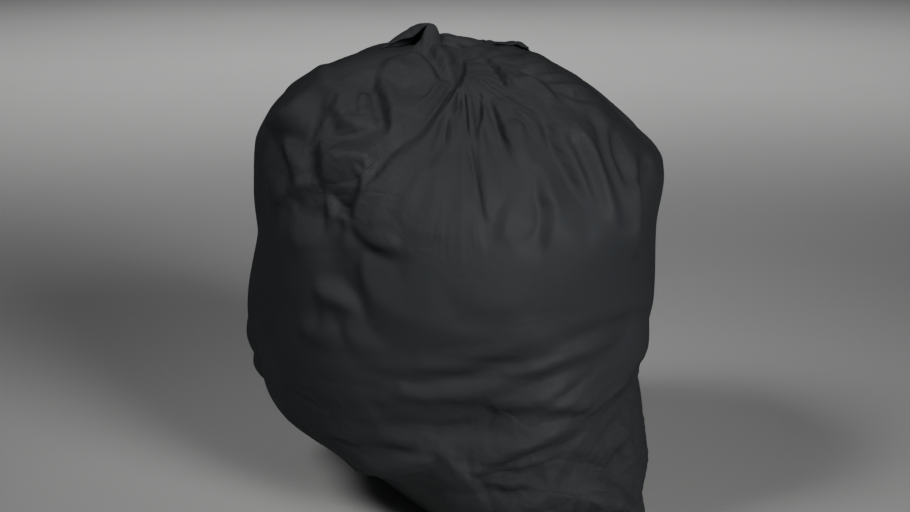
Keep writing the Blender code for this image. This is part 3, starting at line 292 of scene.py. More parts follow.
    ("side sag b", (-1, 1, -1), [(-0.78, 0.375), (-0.73, 0.355), (-0.67, 0.34), (-0.61, 0.33)]),
    ("below the side sags", (-2, -3, -3), [(-0.75, 0.325), (-0.63, 0.305), (-0.5, 0.3)]),
    # where the slack film sags below the belly
    ("belly line", (0, 1, 0), [(-0.01, 0.395), (0.11, 0.4), (0.23, 0.4), (0.33, 0.395)]),
    ("belly line crease", (0, -1, 0), [(0, 0.38), (0.11, 0.38), (0.3, 0.38)]),
    ("belly foot", (1, 2, 1), [(0.93, 0.42), (0.78, 0.39), (0.64, 0.37), (0.5, 0.345)]),
    ("belly foot crease", (-2, -4, -1), [(0.92, 0.4), (0.79, 0.375), (0.66, 0.35), (0.52, 0.32)]),
    ("patch crease", (0, -1, 0), [(0.35, 0.285), (0.44, 0.305), (0.52, 0.32)]),
    ("patch", (1, 4, 1), [(0.39, 0.28), (0.48, 0.29), (0.56, 0.305), (0.64, 0.32), (0.71, 0.335)]),
    ("first sag", (-3, 0, 2), [
        (-0.44, 0.285), (-0.34, 0.27), (-0.26, 0.265), (-0.17, 0.265), (-0.08, 0.27), (0, 0.275),
        (0.09, 0.285), (0.17, 0.3), (0.26, 0.315), (0.35, 0.325),
    ]),
    ("first sag crease", (-4, -7, -2), [
        (-0.45, 0.265), (-0.37, 0.25), (-0.29, 0.24), (-0.22, 0.23), (-0.13, 0.23), (-0.04, 0.235),
        (0.04, 0.245), (0.12, 0.26), (0.21, 0.275), (0.3, 0.29), (0.38, 0.305),
    ]),
    ("second sag upper", (0, 2, 1), [(-0.05, 0.22), (0.02, 0.22), (0.11, 0.23), (0.19, 0.245)]),
    ("second sag lip", (1, 3, 1), [
        (0.23, 0.25), (0.31, 0.255), (0.4, 0.265), (0.47, 0.275), (0.55, 0.29), (0.63, 0.3),
        (0.69, 0.315), (0.75, 0.335),
    ]),
    ("second sag crease", (0, -4, -3), [
        (0.24, 0.23), (0.32, 0.235), (0.4, 0.24), (0.47, 0.255), (0.55, 0.265), (0.63, 0.28),
        (0.7, 0.295), (0.76, 0.315), (0.81, 0.34),
    ]),
    ("second sag", (1, 3, 2), [
        (-0.25, 0.215), (-0.16, 0.205), (-0.06, 0.205), (0.03, 0.2), (0.12, 0.2), (0.19, 0.195),
    ]),
    ("third sag crease", (-1, -2, 0), [
        (-0.25, 0.2), (-0.16, 0.19), (-0.06, 0.185), (0.03, 0.185), (0.12, 0.185), (0.19, 0.175),
    ]),
    ("main sag", (2, 7, 9), [
        (0.23, 0.195), (0.31, 0.19), (0.4, 0.19), (0.49, 0.19), (0.58, 0.19), (0.65, 0.2),
        (0.7, 0.215), (0.75, 0.235), (0.79, 0.265), (0.83, 0.295), (0.87, 0.325),
    ]),
    ("main sag crease", (-1, 1, -2), [
        (0.26, 0.16), (0.34, 0.165), (0.42, 0.17), (0.49, 0.17), (0.57, 0.16), (0.64, 0.16),
        (0.69, 0.175), (0.75, 0.195), (0.8, 0.22), (0.85, 0.26), (0.89, 0.295),
    ]),
    ("low band crease", (-3, -7, -1), [
        (-0.16, 0.1), (-0.08, 0.115), (-0.01, 0.125), (0.06, 0.135), (0.13, 0.145), (0.2, 0.155),
        (0.26, 0.16),
    ]),
    ("left low sag", (-3, -4, -5), [
        (-0.36, 0.16), (-0.27, 0.15), (-0.16, 0.14), (-0.04, 0.145), (0.07, 0.155), (0.17, 0.165),
    ]),
    ("low band", (4, 10, 5), [
        (-0.09, 0.085), (-0.03, 0.07), (0.02, 0.055), (0.08, 0.05), (0.14, 0.06), (0.21, 0.07),
        (0.26, 0.085), (0.33, 0.095), (0.42, 0.11), (0.49, 0.125), (0.55, 0.145),
    ]),
    ("under the low band", (-1, -2, 0), [
        (0.1, 0.04), (0.17, 0.05), (0.24, 0.065), (0.32, 0.08), (0.4, 0.09), (0.48, 0.105),
        (0.53, 0.12), (0.58, 0.14),
    ]),
    ("left foot crease", (-1, -2, -1), [
        (-0.45, 0.08), (-0.38, 0.075), (-0.31, 0.08), (-0.25, 0.09), (-0.19, 0.095),
    ]),
    ("left foot band", (2, 8, 7), [
        (-0.45, 0.07), (-0.4, 0.055), (-0.33, 0.05), (-0.27, 0.055), (-0.21, 0.065),
        (-0.15, 0.075),
    ]),
    ("under the left foot band", (-4, -7, -2), [
        (-0.39, 0.035), (-0.32, 0.03), (-0.25, 0.035), (-0.19, 0.04), (-0.11, 0.05),
    ]),
    ("left sag", (0, 2, 0), [(-0.36, 0.115), (-0.29, 0.11), (-0.23, 0.1), (-0.18, 0.1)]),
    ("left sag crease", (-1, -3, -1), [(-0.38, 0.135), (-0.31, 0.13), (-0.23, 0.125), (-0.18, 0.12)]),
    ("left dimple", (-1, -2, -1), [(-0.48, 0.205), (-0.43, 0.205), (-0.37, 0.2)]),
    ("foot sag a", (1, 7, 1), [(0.23, 0.055), (0.3, 0.055), (0.37, 0.065), (0.43, 0.075)]),
    ("foot sag a crease", (-2, -4, -1), [(0.22, 0.04), (0.28, 0.045), (0.35, 0.05), (0.43, 0.06)]),
    ("foot sag b", (2, 7, 2), [(0.19, 0.015), (0.25, 0.015), (0.31, 0.02), (0.35, 0.03)]),
    ("foot crease b", (-1, -2, -1), [(0.2, 0), (0.26, 0.005), (0.33, 0.015), (0.38, 0.03)]),
    ("foot sag c", (2, 9, 4), [
        (0.17, -0.035), (0.24, -0.03), (0.32, -0.02), (0.39, -0.005), (0.44, 0.015),
    ]),
    ("foot pleat crease", (-2, -6, -2), [
        (0.54, 0.025), (0.62, 0.035), (0.7, 0.035), (0.77, 0.025), (0.83, 0.005),
    ]),
    ("foot pleat", (5, 13, 8), [
        (0.56, 0), (0.62, -0.005), (0.68, -0.01), (0.75, -0.015), (0.8, -0.025), (0.86, -0.04),
    ]),
    ("corner ridge", (1, 6, 1), [(0.73, 0.1), (0.78, 0.125), (0.84, 0.15)]),
    ("corner ridge foot", (-1, -3, -1), [(0.68, 0.105), (0.74, 0.13), (0.79, 0.155)]),
    ("corner crease", (-1, -6, -1), [(0.77, 0.095), (0.79, 0.075), (0.83, 0.055)]),
    ("corner lip", (0, 3, 1), [(0.8, 0.1), (0.83, 0.08), (0.86, 0.065)]),
    # the rim of the net, outside the bag
    ("rim", (0, 0, 0), [
        (-1.08, 0.68), (-1.03, 0.835), (-0.8, 0.945), (-0.42, 1.02), (0.01, 1.035), (0.49, 1.02),
        (0.88, 0.91), (1.06, 0.77), (1.08, 0.595), (1.07, 0.42), (1.04, 0.16), (1.03, -0.08),
        (0.49, -0.1), (-0.13, -0.1), (-0.66, -0.015), (-0.99, 0.135), (-1.09, 0.335), (-1.1, 0.51),
        (-1.08, 0.68),
    ]),
]

# The crests and creases of the sides and back: the same heights, and the line, as (degrees round from
# the right-hand side towards the back, crown heights up).
ROUND_CREASES = [
    # pleats that come down from the knot
    ((1, 6, 2), [(22, 0.86), (18, 0.78), (15, 0.66), (14, 0.54)]),
    ((-2, -9, -2), [(36, 0.9), (34, 0.8), (31, 0.68), (28, 0.57)]),
    ((3, 12, 3), [(52, 0.93), (50, 0.8), (46, 0.66), (42, 0.52)]),
    ((-3, -11, -3), [(66, 0.92), (64, 0.8), (60, 0.66), (57, 0.55)]),
    ((3, 11, 3), [(92, 0.95), (96, 0.82), (101, 0.68), (104, 0.52)]),
    ((-3, -12, -3), [(108, 0.93), (114, 0.8), (118, 0.68), (119, 0.56)]),
    ((3, 10, 3), [(134, 0.93), (140, 0.82), (145, 0.72), (150, 0.6)]),
    ((-3, -11, -3), [(150, 0.9), (156, 0.8), (161, 0.7), (164, 0.6)]),
    ((2, 9, 2), [(172, 0.88), (178, 0.78), (183, 0.68), (186, 0.6)]),
    ((-2, -9, -2), [(190, 0.84), (196, 0.76), (201, 0.68)]),
    # swags of slack film that slant down round the bag below the belly
    ((2, 7, 2), [(140, 0.5), (112, 0.42), (84, 0.38), (60, 0.37)]),
    ((-2, -7, -2), [(100, 0.36), (72, 0.33), (44, 0.36), (20, 0.41)]),
    ((3, 10, 3), [(168, 0.44), (140, 0.34), (112, 0.28), (80, 0.27), (46, 0.3), (12, 0.37)]),
    ((-2, -8, -2), [(150, 0.3), (124, 0.24), (96, 0.2), (66, 0.22), (40, 0.26)]),
    ((2, 8, 2), [(198, 0.36), (174, 0.28), (150, 0.2), (124, 0.15), (96, 0.13)]),
    ((2, 9, 2), [(88, 0.21), (62, 0.15), (36, 0.15), (12, 0.2)]),
    ((-2, -7, -2), [(108, 0.1), (80, 0.08), (52, 0.07), (28, 0.1)]),
    ((-2, -7, -2), [(226, 0.4), (206, 0.32), (186, 0.26), (166, 0.2)]),
    ((1, 6, 1), [(232, 0.5), (210, 0.42), (188, 0.38), (166, 0.4)]),
    ((-2, -8, -2), [(-24, 0.22), (-5, 0.26), (12, 0.23), (26, 0.26)]),
    # the plain film above and below
    ((0, 0, 0), [(-200, 1.1), (-90, 1.1), (0, 1.1), (90, 1.1), (200, 1.1)]),
    ((0, 0, 0), [(-200, -0.1), (-90, -0.1), (0, -0.1), (90, -0.1), (200, -0.1)]),
]

FOLD_DEPTH = 1.25  # how much deeper the film is folded than the stuffing under it
SOFT_PASSES = 3  # times that each point's fold height is averaged with its neighbours'
MERGE = 1e-6  # points of the crease net closer than this are one


def smooth_row(table, at):
    """Rows of a table read at fractional row numbers, on a smooth curve through them."""
    table = np.asarray(table, float)
    last = len(table) - 1
    first = np.clip(np.floor(at).astype(int), 0, last - 1)
    t = (at - first).reshape((-1,) + (1,) * (table.ndim - 1))
    before, start, end, after = (table[np.clip(first + k, 0, last)] for k in (-1, 0, 1, 2))
    return 0.5 * (
        2 * start
        + (end - before) * t
        + (2 * before - 5 * start + 4 * end - after) * t**2
        + (3 * start - before - 3 * end + after) * t**3
    )


def ease(x, low, high):
    """0 below low, 1 above high, and smooth between."""
    t = np.clip((x - low) / (high - low), 0, 1)
    return t * t * (3 - 2 * t)


def stuffed_form(turn, level):
    """Points of the sack without its folds. turn is an angle, level a fractional ring number."""
    rings = smooth_row(RINGS, level.ravel()).reshape(*level.shape, 4, 2)
    left, right, front, back = (rings[..., k, :] for k in range(4))
    across, along = np.cos(turn), np.sin(turn)
    boxy = (abs(across) ** SQUARENESS + abs(along) ** SQUARENESS) ** (-1 / SQUARENESS)
    x = (left[..., 0] + right[..., 0]) / 2 + (right[..., 0] - left[..., 0]) / 2 * across * boxy
    y = (front[..., 0] + back[..., 0]) / 2 + (back[..., 0] - front[..., 0]) / 2 * along * boxy
    side = np.where(across > 0, right[..., 1], left[..., 1])
    face = np.where(along > 0, back[..., 1], front[..., 1])
    z = np.maximum(side * across**2 + face * along**2, 0)
    slewed = x * WIDTH / 2 - y * DEPTH / 2 * FOOT_SLEW * (1 - ease(z, 0, SLEW_TOP))
    return np.stack([slewed, y * DEPTH / 2, z * CROWN], axis=-1)


def outward(points):
    """Outward normals of a grid of points: rows run down from the neck, columns run round."""
    round_step = np.roll(points, -1, axis=1) - np.roll(points, 1, axis=1)
    down_step = np.gradient(points, axis=0)
    normal = np.cross(down_step, round_step)
    return normal / np.maximum(np.linalg.norm(normal, axis=-1, keepdims=True), 1e-12)


def net_height(places, lines):
    """Height at each place of the flat facets that stretch between the lines. A line is its heights
    at the start, in the middle and at the end, and its points."""
    points, heights, edges = [], [], []
    for start_middle_end, route in lines:
        at = np.linspace(0, len(route) - 1, 3 * len(route) - 2)
        start, middle, end = start_middle_end
        edges += [(k, k + 1) for k in range(len(points), len(points) + len(at) - 1)]
        points += smooth_row(route, at).tolist()
        heights += np.interp(at / at[-1], (0, 0.3, 0.7, 1), (start, middle, middle, end)).tolist()
    net = delaunay_2d_cdt([Vector(point) for point in points], edges, [], 0, MERGE)
    corners = np.array(net[0])
    nearest = [np.argmin(np.linalg.norm(np.array(points) - corner, axis=1)) for corner in corners]
    tall = np.array(heights)[nearest]

    x, y = places[..., 0], places[..., 1]
    result = np.zeros_like(x)
    for face in net[2]:
        (ax, ay), (bx, by), (cx, cy) = corners[list(face)]
        low, high = corners[list(face)].min(axis=0), corners[list(face)].max(axis=0)
        near = np.nonzero((x >= low[0]) & (x <= high[0]) & (y >= low[1]) & (y <= high[1]))
        area = (bx - ax) * (cy - ay) - (cx - ax) * (by - ay)
        first = ((bx - x[near]) * (cy - y[near]) - (cx - x[near]) * (by - y[near])) / area
        second = ((cx - x[near]) * (ay - y[near]) - (ax - x[near]) * (cy - y[near])) / area
        weights = np.stack([first, second, 1 - first - second], axis=-1)
        inside = weights.min(axis=-1) >= -MERGE
        at = tuple(index[inside] for index in near)
        result[at] = weights[inside] @ tall[list(face)]
    return result


def soften(height, passes):
    """The heights of a grid whose columns close round, averaged with their neighbours'."""
    for _ in range(passes):
        height = (np.roll(height, 1, axis=1) + 2 * height + np.roll(height, -1, axis=1)) / 4
        above = np.concatenate([height[:1], height[:-1]])
        below = np.concatenate([height[1:], height[-1:]])
        height = (above + 2 * height + below) / 4
    return height


# The front elevation's axes: towards the eye, to the right and up.
EYE_BACK = np.array([0, -math.cos(EYE_ELEVATION), math.sin(EYE_ELEVATION)])
EYE_RIGHT = np.array([1.0, 0, 0])
EYE_UP = np.array([0, math.sin(EYE_ELEVATION), math.cos(EYE_ELEVATION)])


def front_view(points):
    """Where the points are on the front elevation, in metres across and up, and the way to the eye."""
    ray = points - np.array(EYE_TARGET) - EYE_DISTANCE * EYE_BACK
    scale = EYE_DISTANCE / -(ray @ EYE_BACK)
    across = (ray @ EYE_RIGHT) * scale
    height = (ray @ EYE_UP) * scale + EYE_TARGET[2] * EYE_UP[2]
    towards_eye = -ray / np.linalg.norm(ray, axis=-1, keepdims=True)
    return np.stack([across, height], axis=-1), towards_eye


def front_share(form):
    """The form's normals, its places on the front elevation, and how far each point belongs to the
    front: 1 where it faces the eye, 0 where it faces away, and between these along the bag's edge."""
    normal = outward(form)
    places, towards_eye = front_view(form)
    return normal, places, ease((normal * towards_eye).sum(axis=-1), -0.06, 0.08)


BROAD_PLEAT = 9 * MM  # height of the pleats round the neck, and of the finer ones between them
FINE_PLEAT = 5 * MM
ARCH_MEAN = 0.64  # mean height of a row of arches, abs(sin), so that pleats neither fill nor thin the bag


def gather_pleats(turn, level):
    """The pleats that the knot pulls into the film all round the neck, with unequal spacing."""
    warped = turn + 0.10 * np.sin(3 * turn + 1) + 0.06 * np.sin(7 * turn + 2.3)
    broad = abs(np.sin(9 * warped + 0.35 * level)) - ARCH_MEAN
    fine = abs(np.sin(15 * warped - 0.5 * level)) - ARCH_MEAN
    broad_reach = ease(level, 0.3, 2.2) * ease(-level, -6.2, -2.6)
    fine_reach = ease(level, 0.1, 1.0) * ease(-level, -3.4, -1.2)
    return BROAD_PLEAT * broad * broad_reach + FINE_PLEAT * fine * fine_reach


BROAD_LUMP = 2.5 * MM  # height of the bulges, and of the smaller ones on them
SMALL_LUMP = 1.2 * MM


def lumps(points):
    """Gentle bulges where the rubbish inside presses on the film."""
    x, y, z = (points[..., k] for k in range(3))
    broad = np.sin(19 * x + 1.1) * np.sin(23 * z + 0.6) + np.sin(21 * y + 2.0) * np.sin(17 * z - 1.3)
    small = np.sin(41 * x - 13 * y + 0.4) * np.sin(37 * z + 2.2)
    return BROAD_LUMP * broad + SMALL_LUMP * small


def add_folds(form, turn, level):
    """The form's points with its lumps, pleats and creases."""
    normal, places, facing = front_share(form)
    front = [(heights, np.array(route) * (WIDTH / 2, CROWN)) for _, heights, route in FRONT_CREASES]
    lap = 2 * math.pi
    around = [
        (heights, [((math.radians(angle) + k * lap) * WIDTH / 2, up * CROWN) for angle, up in route])
        for k in (-1, 0, 1)
        for heights, route in ROUND_CREASES
    ]
    round_places = np.stack([turn * WIDTH / 2, form[..., 2]], axis=-1)
    creases = facing * net_height(places, front) + (1 - facing) * net_height(round_places, around)
    creases = FOLD_DEPTH * soften(creases, SOFT_PASSES)
    height = lumps(form) + gather_pleats(turn, level) * (1 - facing) + creases * MM

    rising = ease(level, 0, 0.12) * ease(form[..., 2], 0, FLAT_FOOT)
    film = form + normal * (height * rising)[..., None]
    film[..., 2] = np.maximum(film[..., 2], 0)
    film[-1, :, 2] = 0
    return film


COLUMNS = 400
ROWS = 228
FRONT_DENSITY = 0.5  # how much closer the columns stand at the front than at the back


def film_grid(columns, rows):
    """Angle and ring number at each point of a grid that is denser at the front of the sack."""
    around, level = np.meshgrid(
        np.linspace(0, 2 * math.pi, columns, endpoint=False),
        np.linspace(0, len(RINGS) - 1, rows),
    )
    return around - FRONT_DENSITY * np.cos(around), level


def crumpled(a, b, seed):
    """Noise over two coordinates that is lowest along sharp creases and rises by about 0.5 between
    them. Its mean of 0.2 is taken off, so that it neither fills nor thins the film."""
    values = [abs(noise.noise((u, v, seed))) for u, v in zip(a.ravel().tolist(), b.ravel().tolist())]
    return np.reshape(values, a.shape) - 0.2


GATHER = (0.02, 0.93)  # where the pleats run together, in half widths across and crown heights up
PULL = (0.95, 0.37)  # where the sagging film is pulled up to on the right
FAN_PLEAT = 7 * MM  # height of the small pleats under the knot, and of those in the sagging film
SAG_PLEAT = 6.5 * MM
ROUND_FAN_PLEAT = 9 * MM  # the same two on the sides and back
ROUND_SAG_PLEAT = 7 * MM
FAN_PITCH = 5  # about how many pleats there are for each radian of turn


def fine_pleats(form, turn, level):
    """Height of the small pleats that run along the film's main folds."""
    _, places, facing = front_share(form)
    across, up = places[..., 0] / (WIDTH / 2), places[..., 1] / CROWN

    # under the knot: along lines from the gather, each with its own length
    offset = places - np.array(GATHER) * (WIDTH / 2, CROWN)
    span = np.linalg.norm(offset, axis=-1)
    angle = np.arctan2(offset[..., 0], -offset[..., 1])  # 0 straight down, above 0 to the right
    reach = span * (1 + 1.2 * crumpled(angle * FAN_PITCH, 0 * angle, 3.3))
    fan = FAN_PLEAT * np.clip(span / 0.10, 0.1, 1) * crumpled(angle * FAN_PITCH, span / 0.20, 1.7)
    fan *= 1 - ease(reach, 0.08, 0.21)
    fan *= ease(angle, -0.8, -0.55)

    # below the belly: across the bag, and closer together towards the place that pulls them up
    spread = 0.3 + 0.7 * ease(PULL[0] - across, 0.03, 0.7)
    drop = (PULL[1] - up) / spread
    sag = SAG_PLEAT * crumpled(drop / 0.06, across * 1.3, 5.1)
    sag *= ease(PULL[1] - up, 0.01, 0.10) * ease(across, -0.75, -0.2) * ease(-across, -1.0, -0.7)

    # the same two kinds on the sides and back
    tall = form[..., 2]
    round_fan = ROUND_FAN_PLEAT * crumpled(turn * FAN_PITCH, level * 0.35, 8.2)
    round_fan *= ease(level, 0.4, 2.0) * (1 - ease(level, 3.0, 6.5))
    wave = tall + 0.03 * np.sin(2 * turn + 1)
    round_sag = ROUND_SAG_PLEAT * crumpled(wave / 0.035, turn * 1.4, 2.6)
    round_sag *= ease(-tall, -0.26, -0.16) * ease(tall, 0, 0.03)
    return facing * (fan + sag) + (1 - facing) * (round_fan + round_sag)


points, faces = [], []


def add_grid(grid, closed):
    """Adds a grid of points to the film. A closed one's last column joins its first."""
    rows, columns = grid.shape[:2]
    first = len(points)
    points.extend(grid.reshape(-1, 3).tolist())
    for row in range(rows - 1):
        for k in range(columns if closed else columns - 1):
            beside = (k + 1) % columns
            upper, lower = first + row * columns, first + (row + 1) * columns
            faces.append((upper + k, lower + k, lower + beside, upper + beside))


def close_end(first, count, flip):
    """Closes the ring of points that starts at number first with a fan of faces about its middle."""
    middle = len(points)
    points.append(np.mean(points[first:first + count], axis=0).tolist())
    for k in range(count):
        side = (first + k, first + (k + 1) % count)
        faces.append((middle, *(side[::-1] if flip else side)))


turn, level = film_grid(COLUMNS, ROWS)
form = stuffed_form(turn, level)
film_points = add_folds(form, turn, level)
settling = ease(level, 0, 0.4) * ease(form[..., 2], 0, FLAT_FOOT)
film_points += outward(film_points) * (fine_pleats(form, turn, level) * settling)[..., None]
film_points[..., 2] = np.maximum(film_points[..., 2], 0)
add_grid(film_points, closed=True)
close_end(0, COLUMNS, flip=False)
close_end((ROWS - 1) * COLUMNS, COLUMNS, flip=True)

# The knot. It is the gathered mouth of the same film, turned over on itself behind the pleats and pulled
# tight. Its middle is a line of points in mm, each with a radius.
KNOT = [
    ((-30, 6, 485), 8), ((-18, 12, 498), 13), ((-4, 16, 498), 14),
    ((12, 18, 495), 13), ((26, 22, 491), 11), ((40, 28, 485), 7),
]


def bundle(line, rows, columns, pleats, twist, seed):
    """A rope of gathered film along a line, with pleats that turn about it."""
    at = np.linspace(0, len(line) - 1, rows)
    centre = smooth_row([point for point, _ in line], at) * MM
    radius = smooth_row([[r] for _, r in line], at)[:, 0] * MM
    radius *= np.sqrt(np.clip(1 - (2 * at / at[-1] - 1) ** 8, 0.02, 1))
    forward = np.gradient(centre, axis=0)
    forward /= np.linalg.norm(forward, axis=1, keepdims=True)
    aside = np.cross(forward, (0, 1, 0))
    aside /= np.linalg.norm(aside, axis=1, keepdims=True)
    over = np.cross(aside, forward)
    angle, along = np.meshgrid(np.linspace(0, 2 * math.pi, columns, endpoint=False), at / at[-1])
    twisted = angle + twist * along
    pleat = abs(np.sin(pleats / 2 * twisted)) - 0.6 + 0.6 * np.sin(2 * twisted + seed)
    dents = crumpled(1.5 * np.sin(twisted), along * 2, seed)
    size = radius[:, None] * (1 + 0.07 * pleat + 0.5 * dents)
    return (
        centre[:, None]
        + (size * np.cos(angle))[..., None] * aside[:, None]
        + (size * np.sin(angle))[..., None] * over[:, None]
    )


add_grid(bundle(KNOT, rows=40, columns=48, pleats=2, twist=0.6, seed=0.7), closed=True)

# The ears. They are the two corners of the mouth, which stick out of the knot as open, curled flaps of
# the same film. Each row of points in mm goes from the back foot over the back lip, down into the hollow
# and over the front lip.
LEFT_EAR = [
    [
        (-81, 16, 495), (-81, 12, 499), (-80, 9, 499), (-80, 14, 497),
        (-79, 9, 494), (-78, 5, 494), (-78, -12, 495),
    ],
    [
        (-77, 26, 489), (-76, 18, 502), (-75, 10, 501), (-75, 19, 499),
        (-74, 12, 493), (-74, 2, 494), (-73, -18, 495),
    ],
    [
        (-69, 30, 489), (-69, 20, 507), (-68, 8, 505), (-68, 20, 501),
        (-68, 12, 493), (-67, -2, 497), (-68, -22, 495),
    ],
    [
        (-62, 32, 489), (-61, 20, 512), (-60, 6, 508), (-60, 20, 505),
        (-60, 12, 494), (-60, -5, 499), (-61, -25, 494),
    ],
    [
        (-53, 32, 489), (-53, 18, 518), (-51, 4, 510), (-52, 19, 506),
        (-52, 10, 496), (-51, -7, 502), (-54, -27, 494),
    ],
    [
        (-47, 32, 489), (-46, 16, 522), (-45, 3, 514), (-45, 17, 509),
        (-45, 9, 499), (-45, -9, 505), (-48, -28, 492),
    ],
    [
        (-41, 31, 489), (-41, 15, 523), (-40, 3, 518), (-40, 14, 514),
        (-40, 8, 504), (-39, -10, 511), (-42, -29, 486),
    ],
    [
        (-36, 30, 489), (-36, 13, 523), (-35, 3, 522), (-35, 10, 519),
        (-35, 5, 512), (-34, -9, 521), (-36, -30, 482),
    ],
    [
        (-29, 28, 488), (-29, 11, 523), (-29, 4, 523), (-29, 4, 522),
        (-29, 1, 521), (-29, -6, 524), (-30, -29, 478),
    ],
    [
        (-23, 26, 487), (-23, 9, 520), (-23, 4, 520), (-23, 3, 520),
        (-23, 0, 519), (-23, -5, 521), (-23, -26, 474),
    ],
    [
        (-17, 24, 485), (-18, 7, 511), (-18, 4, 511), (-18, 3, 510),
        (-18, 0, 510), (-18, -4, 511), (-17, -20, 474),
    ],
    [
        (-12, 20, 486), (-15, 6, 500), (-15, 4, 501), (-15, 3, 500),
        (-15, 0, 500), (-15, -3, 501), (-12, -12, 476),
    ],
]
RIGHT_EAR = [
    [(34, 46, 486), (34, 38, 500), (35, 22, 499), (35, 26, 496), (35, 24, 493)],
    [(41, 50, 485), (40, 42, 500), (41, 18, 501), (41, 32, 498), (41, 26, 492)],
    [(46, 54, 483), (46, 44, 500), (45, 18, 502), (46, 36, 498), (46, 28, 490)],
    [(56, 58, 480), (56, 48, 499), (55, 20, 501), (56, 40, 497), (55, 32, 490)],
    [(65, 62, 477), (65, 52, 499), (64, 26, 500), (64, 44, 495), (64, 38, 489)],
    [(73, 66, 474), (72, 56, 496), (72, 36, 496), (72, 46, 493), (72, 42, 489)],
    [(81, 66, 473), (79, 58, 492), (79, 46, 491), (79, 50, 490), (79, 50, 486)],
]

CRUMPLE = 3 * MM  # height of the crumples in the ears


def flap(stations, rows, columns, seed):
    """A curled flap of film through rows of points, slightly crumpled."""
    along = smooth_row(stations, np.linspace(0, len(stations) - 1, rows))
    across = smooth_row(along.transpose(1, 0, 2), np.linspace(0, len(stations[0]) - 1, columns))
    grid = across.transpose(1, 0, 2) * MM
    lift = CRUMPLE * crumpled(grid[..., 0] / 0.013 + grid[..., 1] / 0.03, grid[..., 2] / 0.02, seed)
    return grid + lift[..., None] * np.array([0.3, -0.4, 0.8])


def new_object(name, points, faces):
    """A mesh of the points and faces, put in the scene."""
    data = bpy.data.meshes.new(name)
    data.from_pydata(points, [], faces)
    data.update()
    obj = bpy.data.objects.new(name, data)
    bpy.context.scene.collection.objects.link(obj)
    return obj


add_grid(flap(LEFT_EAR, rows=72, columns=48, seed=4.2), closed=False)
add_grid(flap(RIGHT_EAR, rows=40, columns=36, seed=6.6), closed=False)
film = new_object("sack_film", points, faces)
film.data.shade_smooth()

# The film's finish is dull black with a soft, uneven sheen. It is stretched into faint lines under the
# knot, finely crumpled where it hangs slack, dusty on top and scuffed near the floor.
FILM_BLACK = (0.0265, 0.029, 0.032, 1)
DUST = (0.052, 0.052, 0.051, 1)
LINES_FROM = 0.475  # height of the place where the stretch lines run together, in metres
STRETCH = 0.004  # height of the stretch lines, in metres
LARGE_CRUMPLE = (34, 0.16)  # facets for each metre, and the slope of their sides
SMALL_CRUMPLE = (60, 0.07)
GRAIN = 0.00003  # height of the film's grain, in metres


def plug(socket, value):
    """Links an output to the socket, or sets a number on it."""
    if isinstance(value, bpy.types.NodeSocket):
        socket.id_data.links.new(value, socket)
    else:
        socket.default_value = value


def combined(tree, operation, *values):
    """Output of a Math node on the values."""
    node = tree.nodes.new("ShaderNodeMath")
    node.operation = operation
    for socket, value in zip(node.inputs, values):
        plug(socket, value)
    return node.outputs[0]


def times(tree, first, second):
    return combined(tree, "MULTIPLY", first, second)


def plus(tree, first, second):
    return combined(tree, "ADD", first, second)


def ramp(tree, value, low, high, start, end):
    """The value read on a smooth curve from start at low to end at high."""
    node = tree.nodes.new("ShaderNodeMapRange")
    node.interpolation_type = "SMOOTHSTEP"
    names = ("Value", "From Min", "From Max", "To Min", "To Max")
    for name, setting in zip(names, (value, low, high, start, end)):
        plug(node.inputs[name], setting)
    return node.outputs["Result"]


def mottled(tree, vector, scale, detail, distortion=0.0):
    """Value of a noise texture, scale in waves a metre."""
    node = tree.nodes.new("ShaderNodeTexNoise")
    node.inputs["Scale"].default_value = scale
    node.inputs["Detail"].default_value = detail
    node.inputs["Distortion"].default_value = distortion
    tree.links.new(vector, node.inputs["Vector"])
    return node.outputs[0]


def facets(tree, vector, scale, slope):
    """Height in metres of small flat facets that meet in sharp lines."""
    cells = tree.nodes.new("ShaderNodeTexVoronoi")
    cells.feature = "DISTANCE_TO_EDGE"
    cells.inputs["Scale"].default_value = scale
    tree.links.new(vector, cells.inputs["Vector"])
    return times(tree, combined(tree, "DIVIDE", cells.outputs["Distance"], scale), slope)


black = bpy.data.materials.new("black film")
black.use_nodes = True
tree = black.node_tree
nodes, links = tree.nodes, tree.links
shader = nodes["Principled BSDF"]
place = nodes.new("ShaderNodeTexCoord").outputs["Object"]
axes = nodes.new("ShaderNodeSeparateXYZ")
links.new(place, axes.inputs[0])
sideways, height = axes.outputs["X"], axes.outputs["Z"]
slack = mottled(tree, place, 5, 2)

# Stretch lines: noise over the angle and the distance from their meeting place, drawn out lengthwise.
below = combined(tree, "SUBTRACT", LINES_FROM, height)
angle = combined(tree, "ARCTAN2", sideways, below)
squares = plus(tree, combined(tree, "POWER", sideways, 2), combined(tree, "POWER", below, 2))
reach = combined(tree, "SQRT", squares)
pulled = nodes.new("ShaderNodeCombineXYZ")
plug(pulled.inputs[0], times(tree, angle, 3.2))
plug(pulled.inputs[1], times(tree, reach, 5))
plug(pulled.inputs[2], axes.outputs["Y"])
stretched = mottled(tree, pulled.outputs[0], 3, 2, 0.4)
stretched = times(tree, stretched, ramp(tree, reach, 0.02, 0.12, 0.0, STRETCH))
stretched = times(tree, stretched, ramp(tree, reach, 0.08, 0.18, 1.0, 0.0))
stretched = times(tree, stretched, ramp(tree, slack, 0.42, 0.60, 0.25, 1.0))

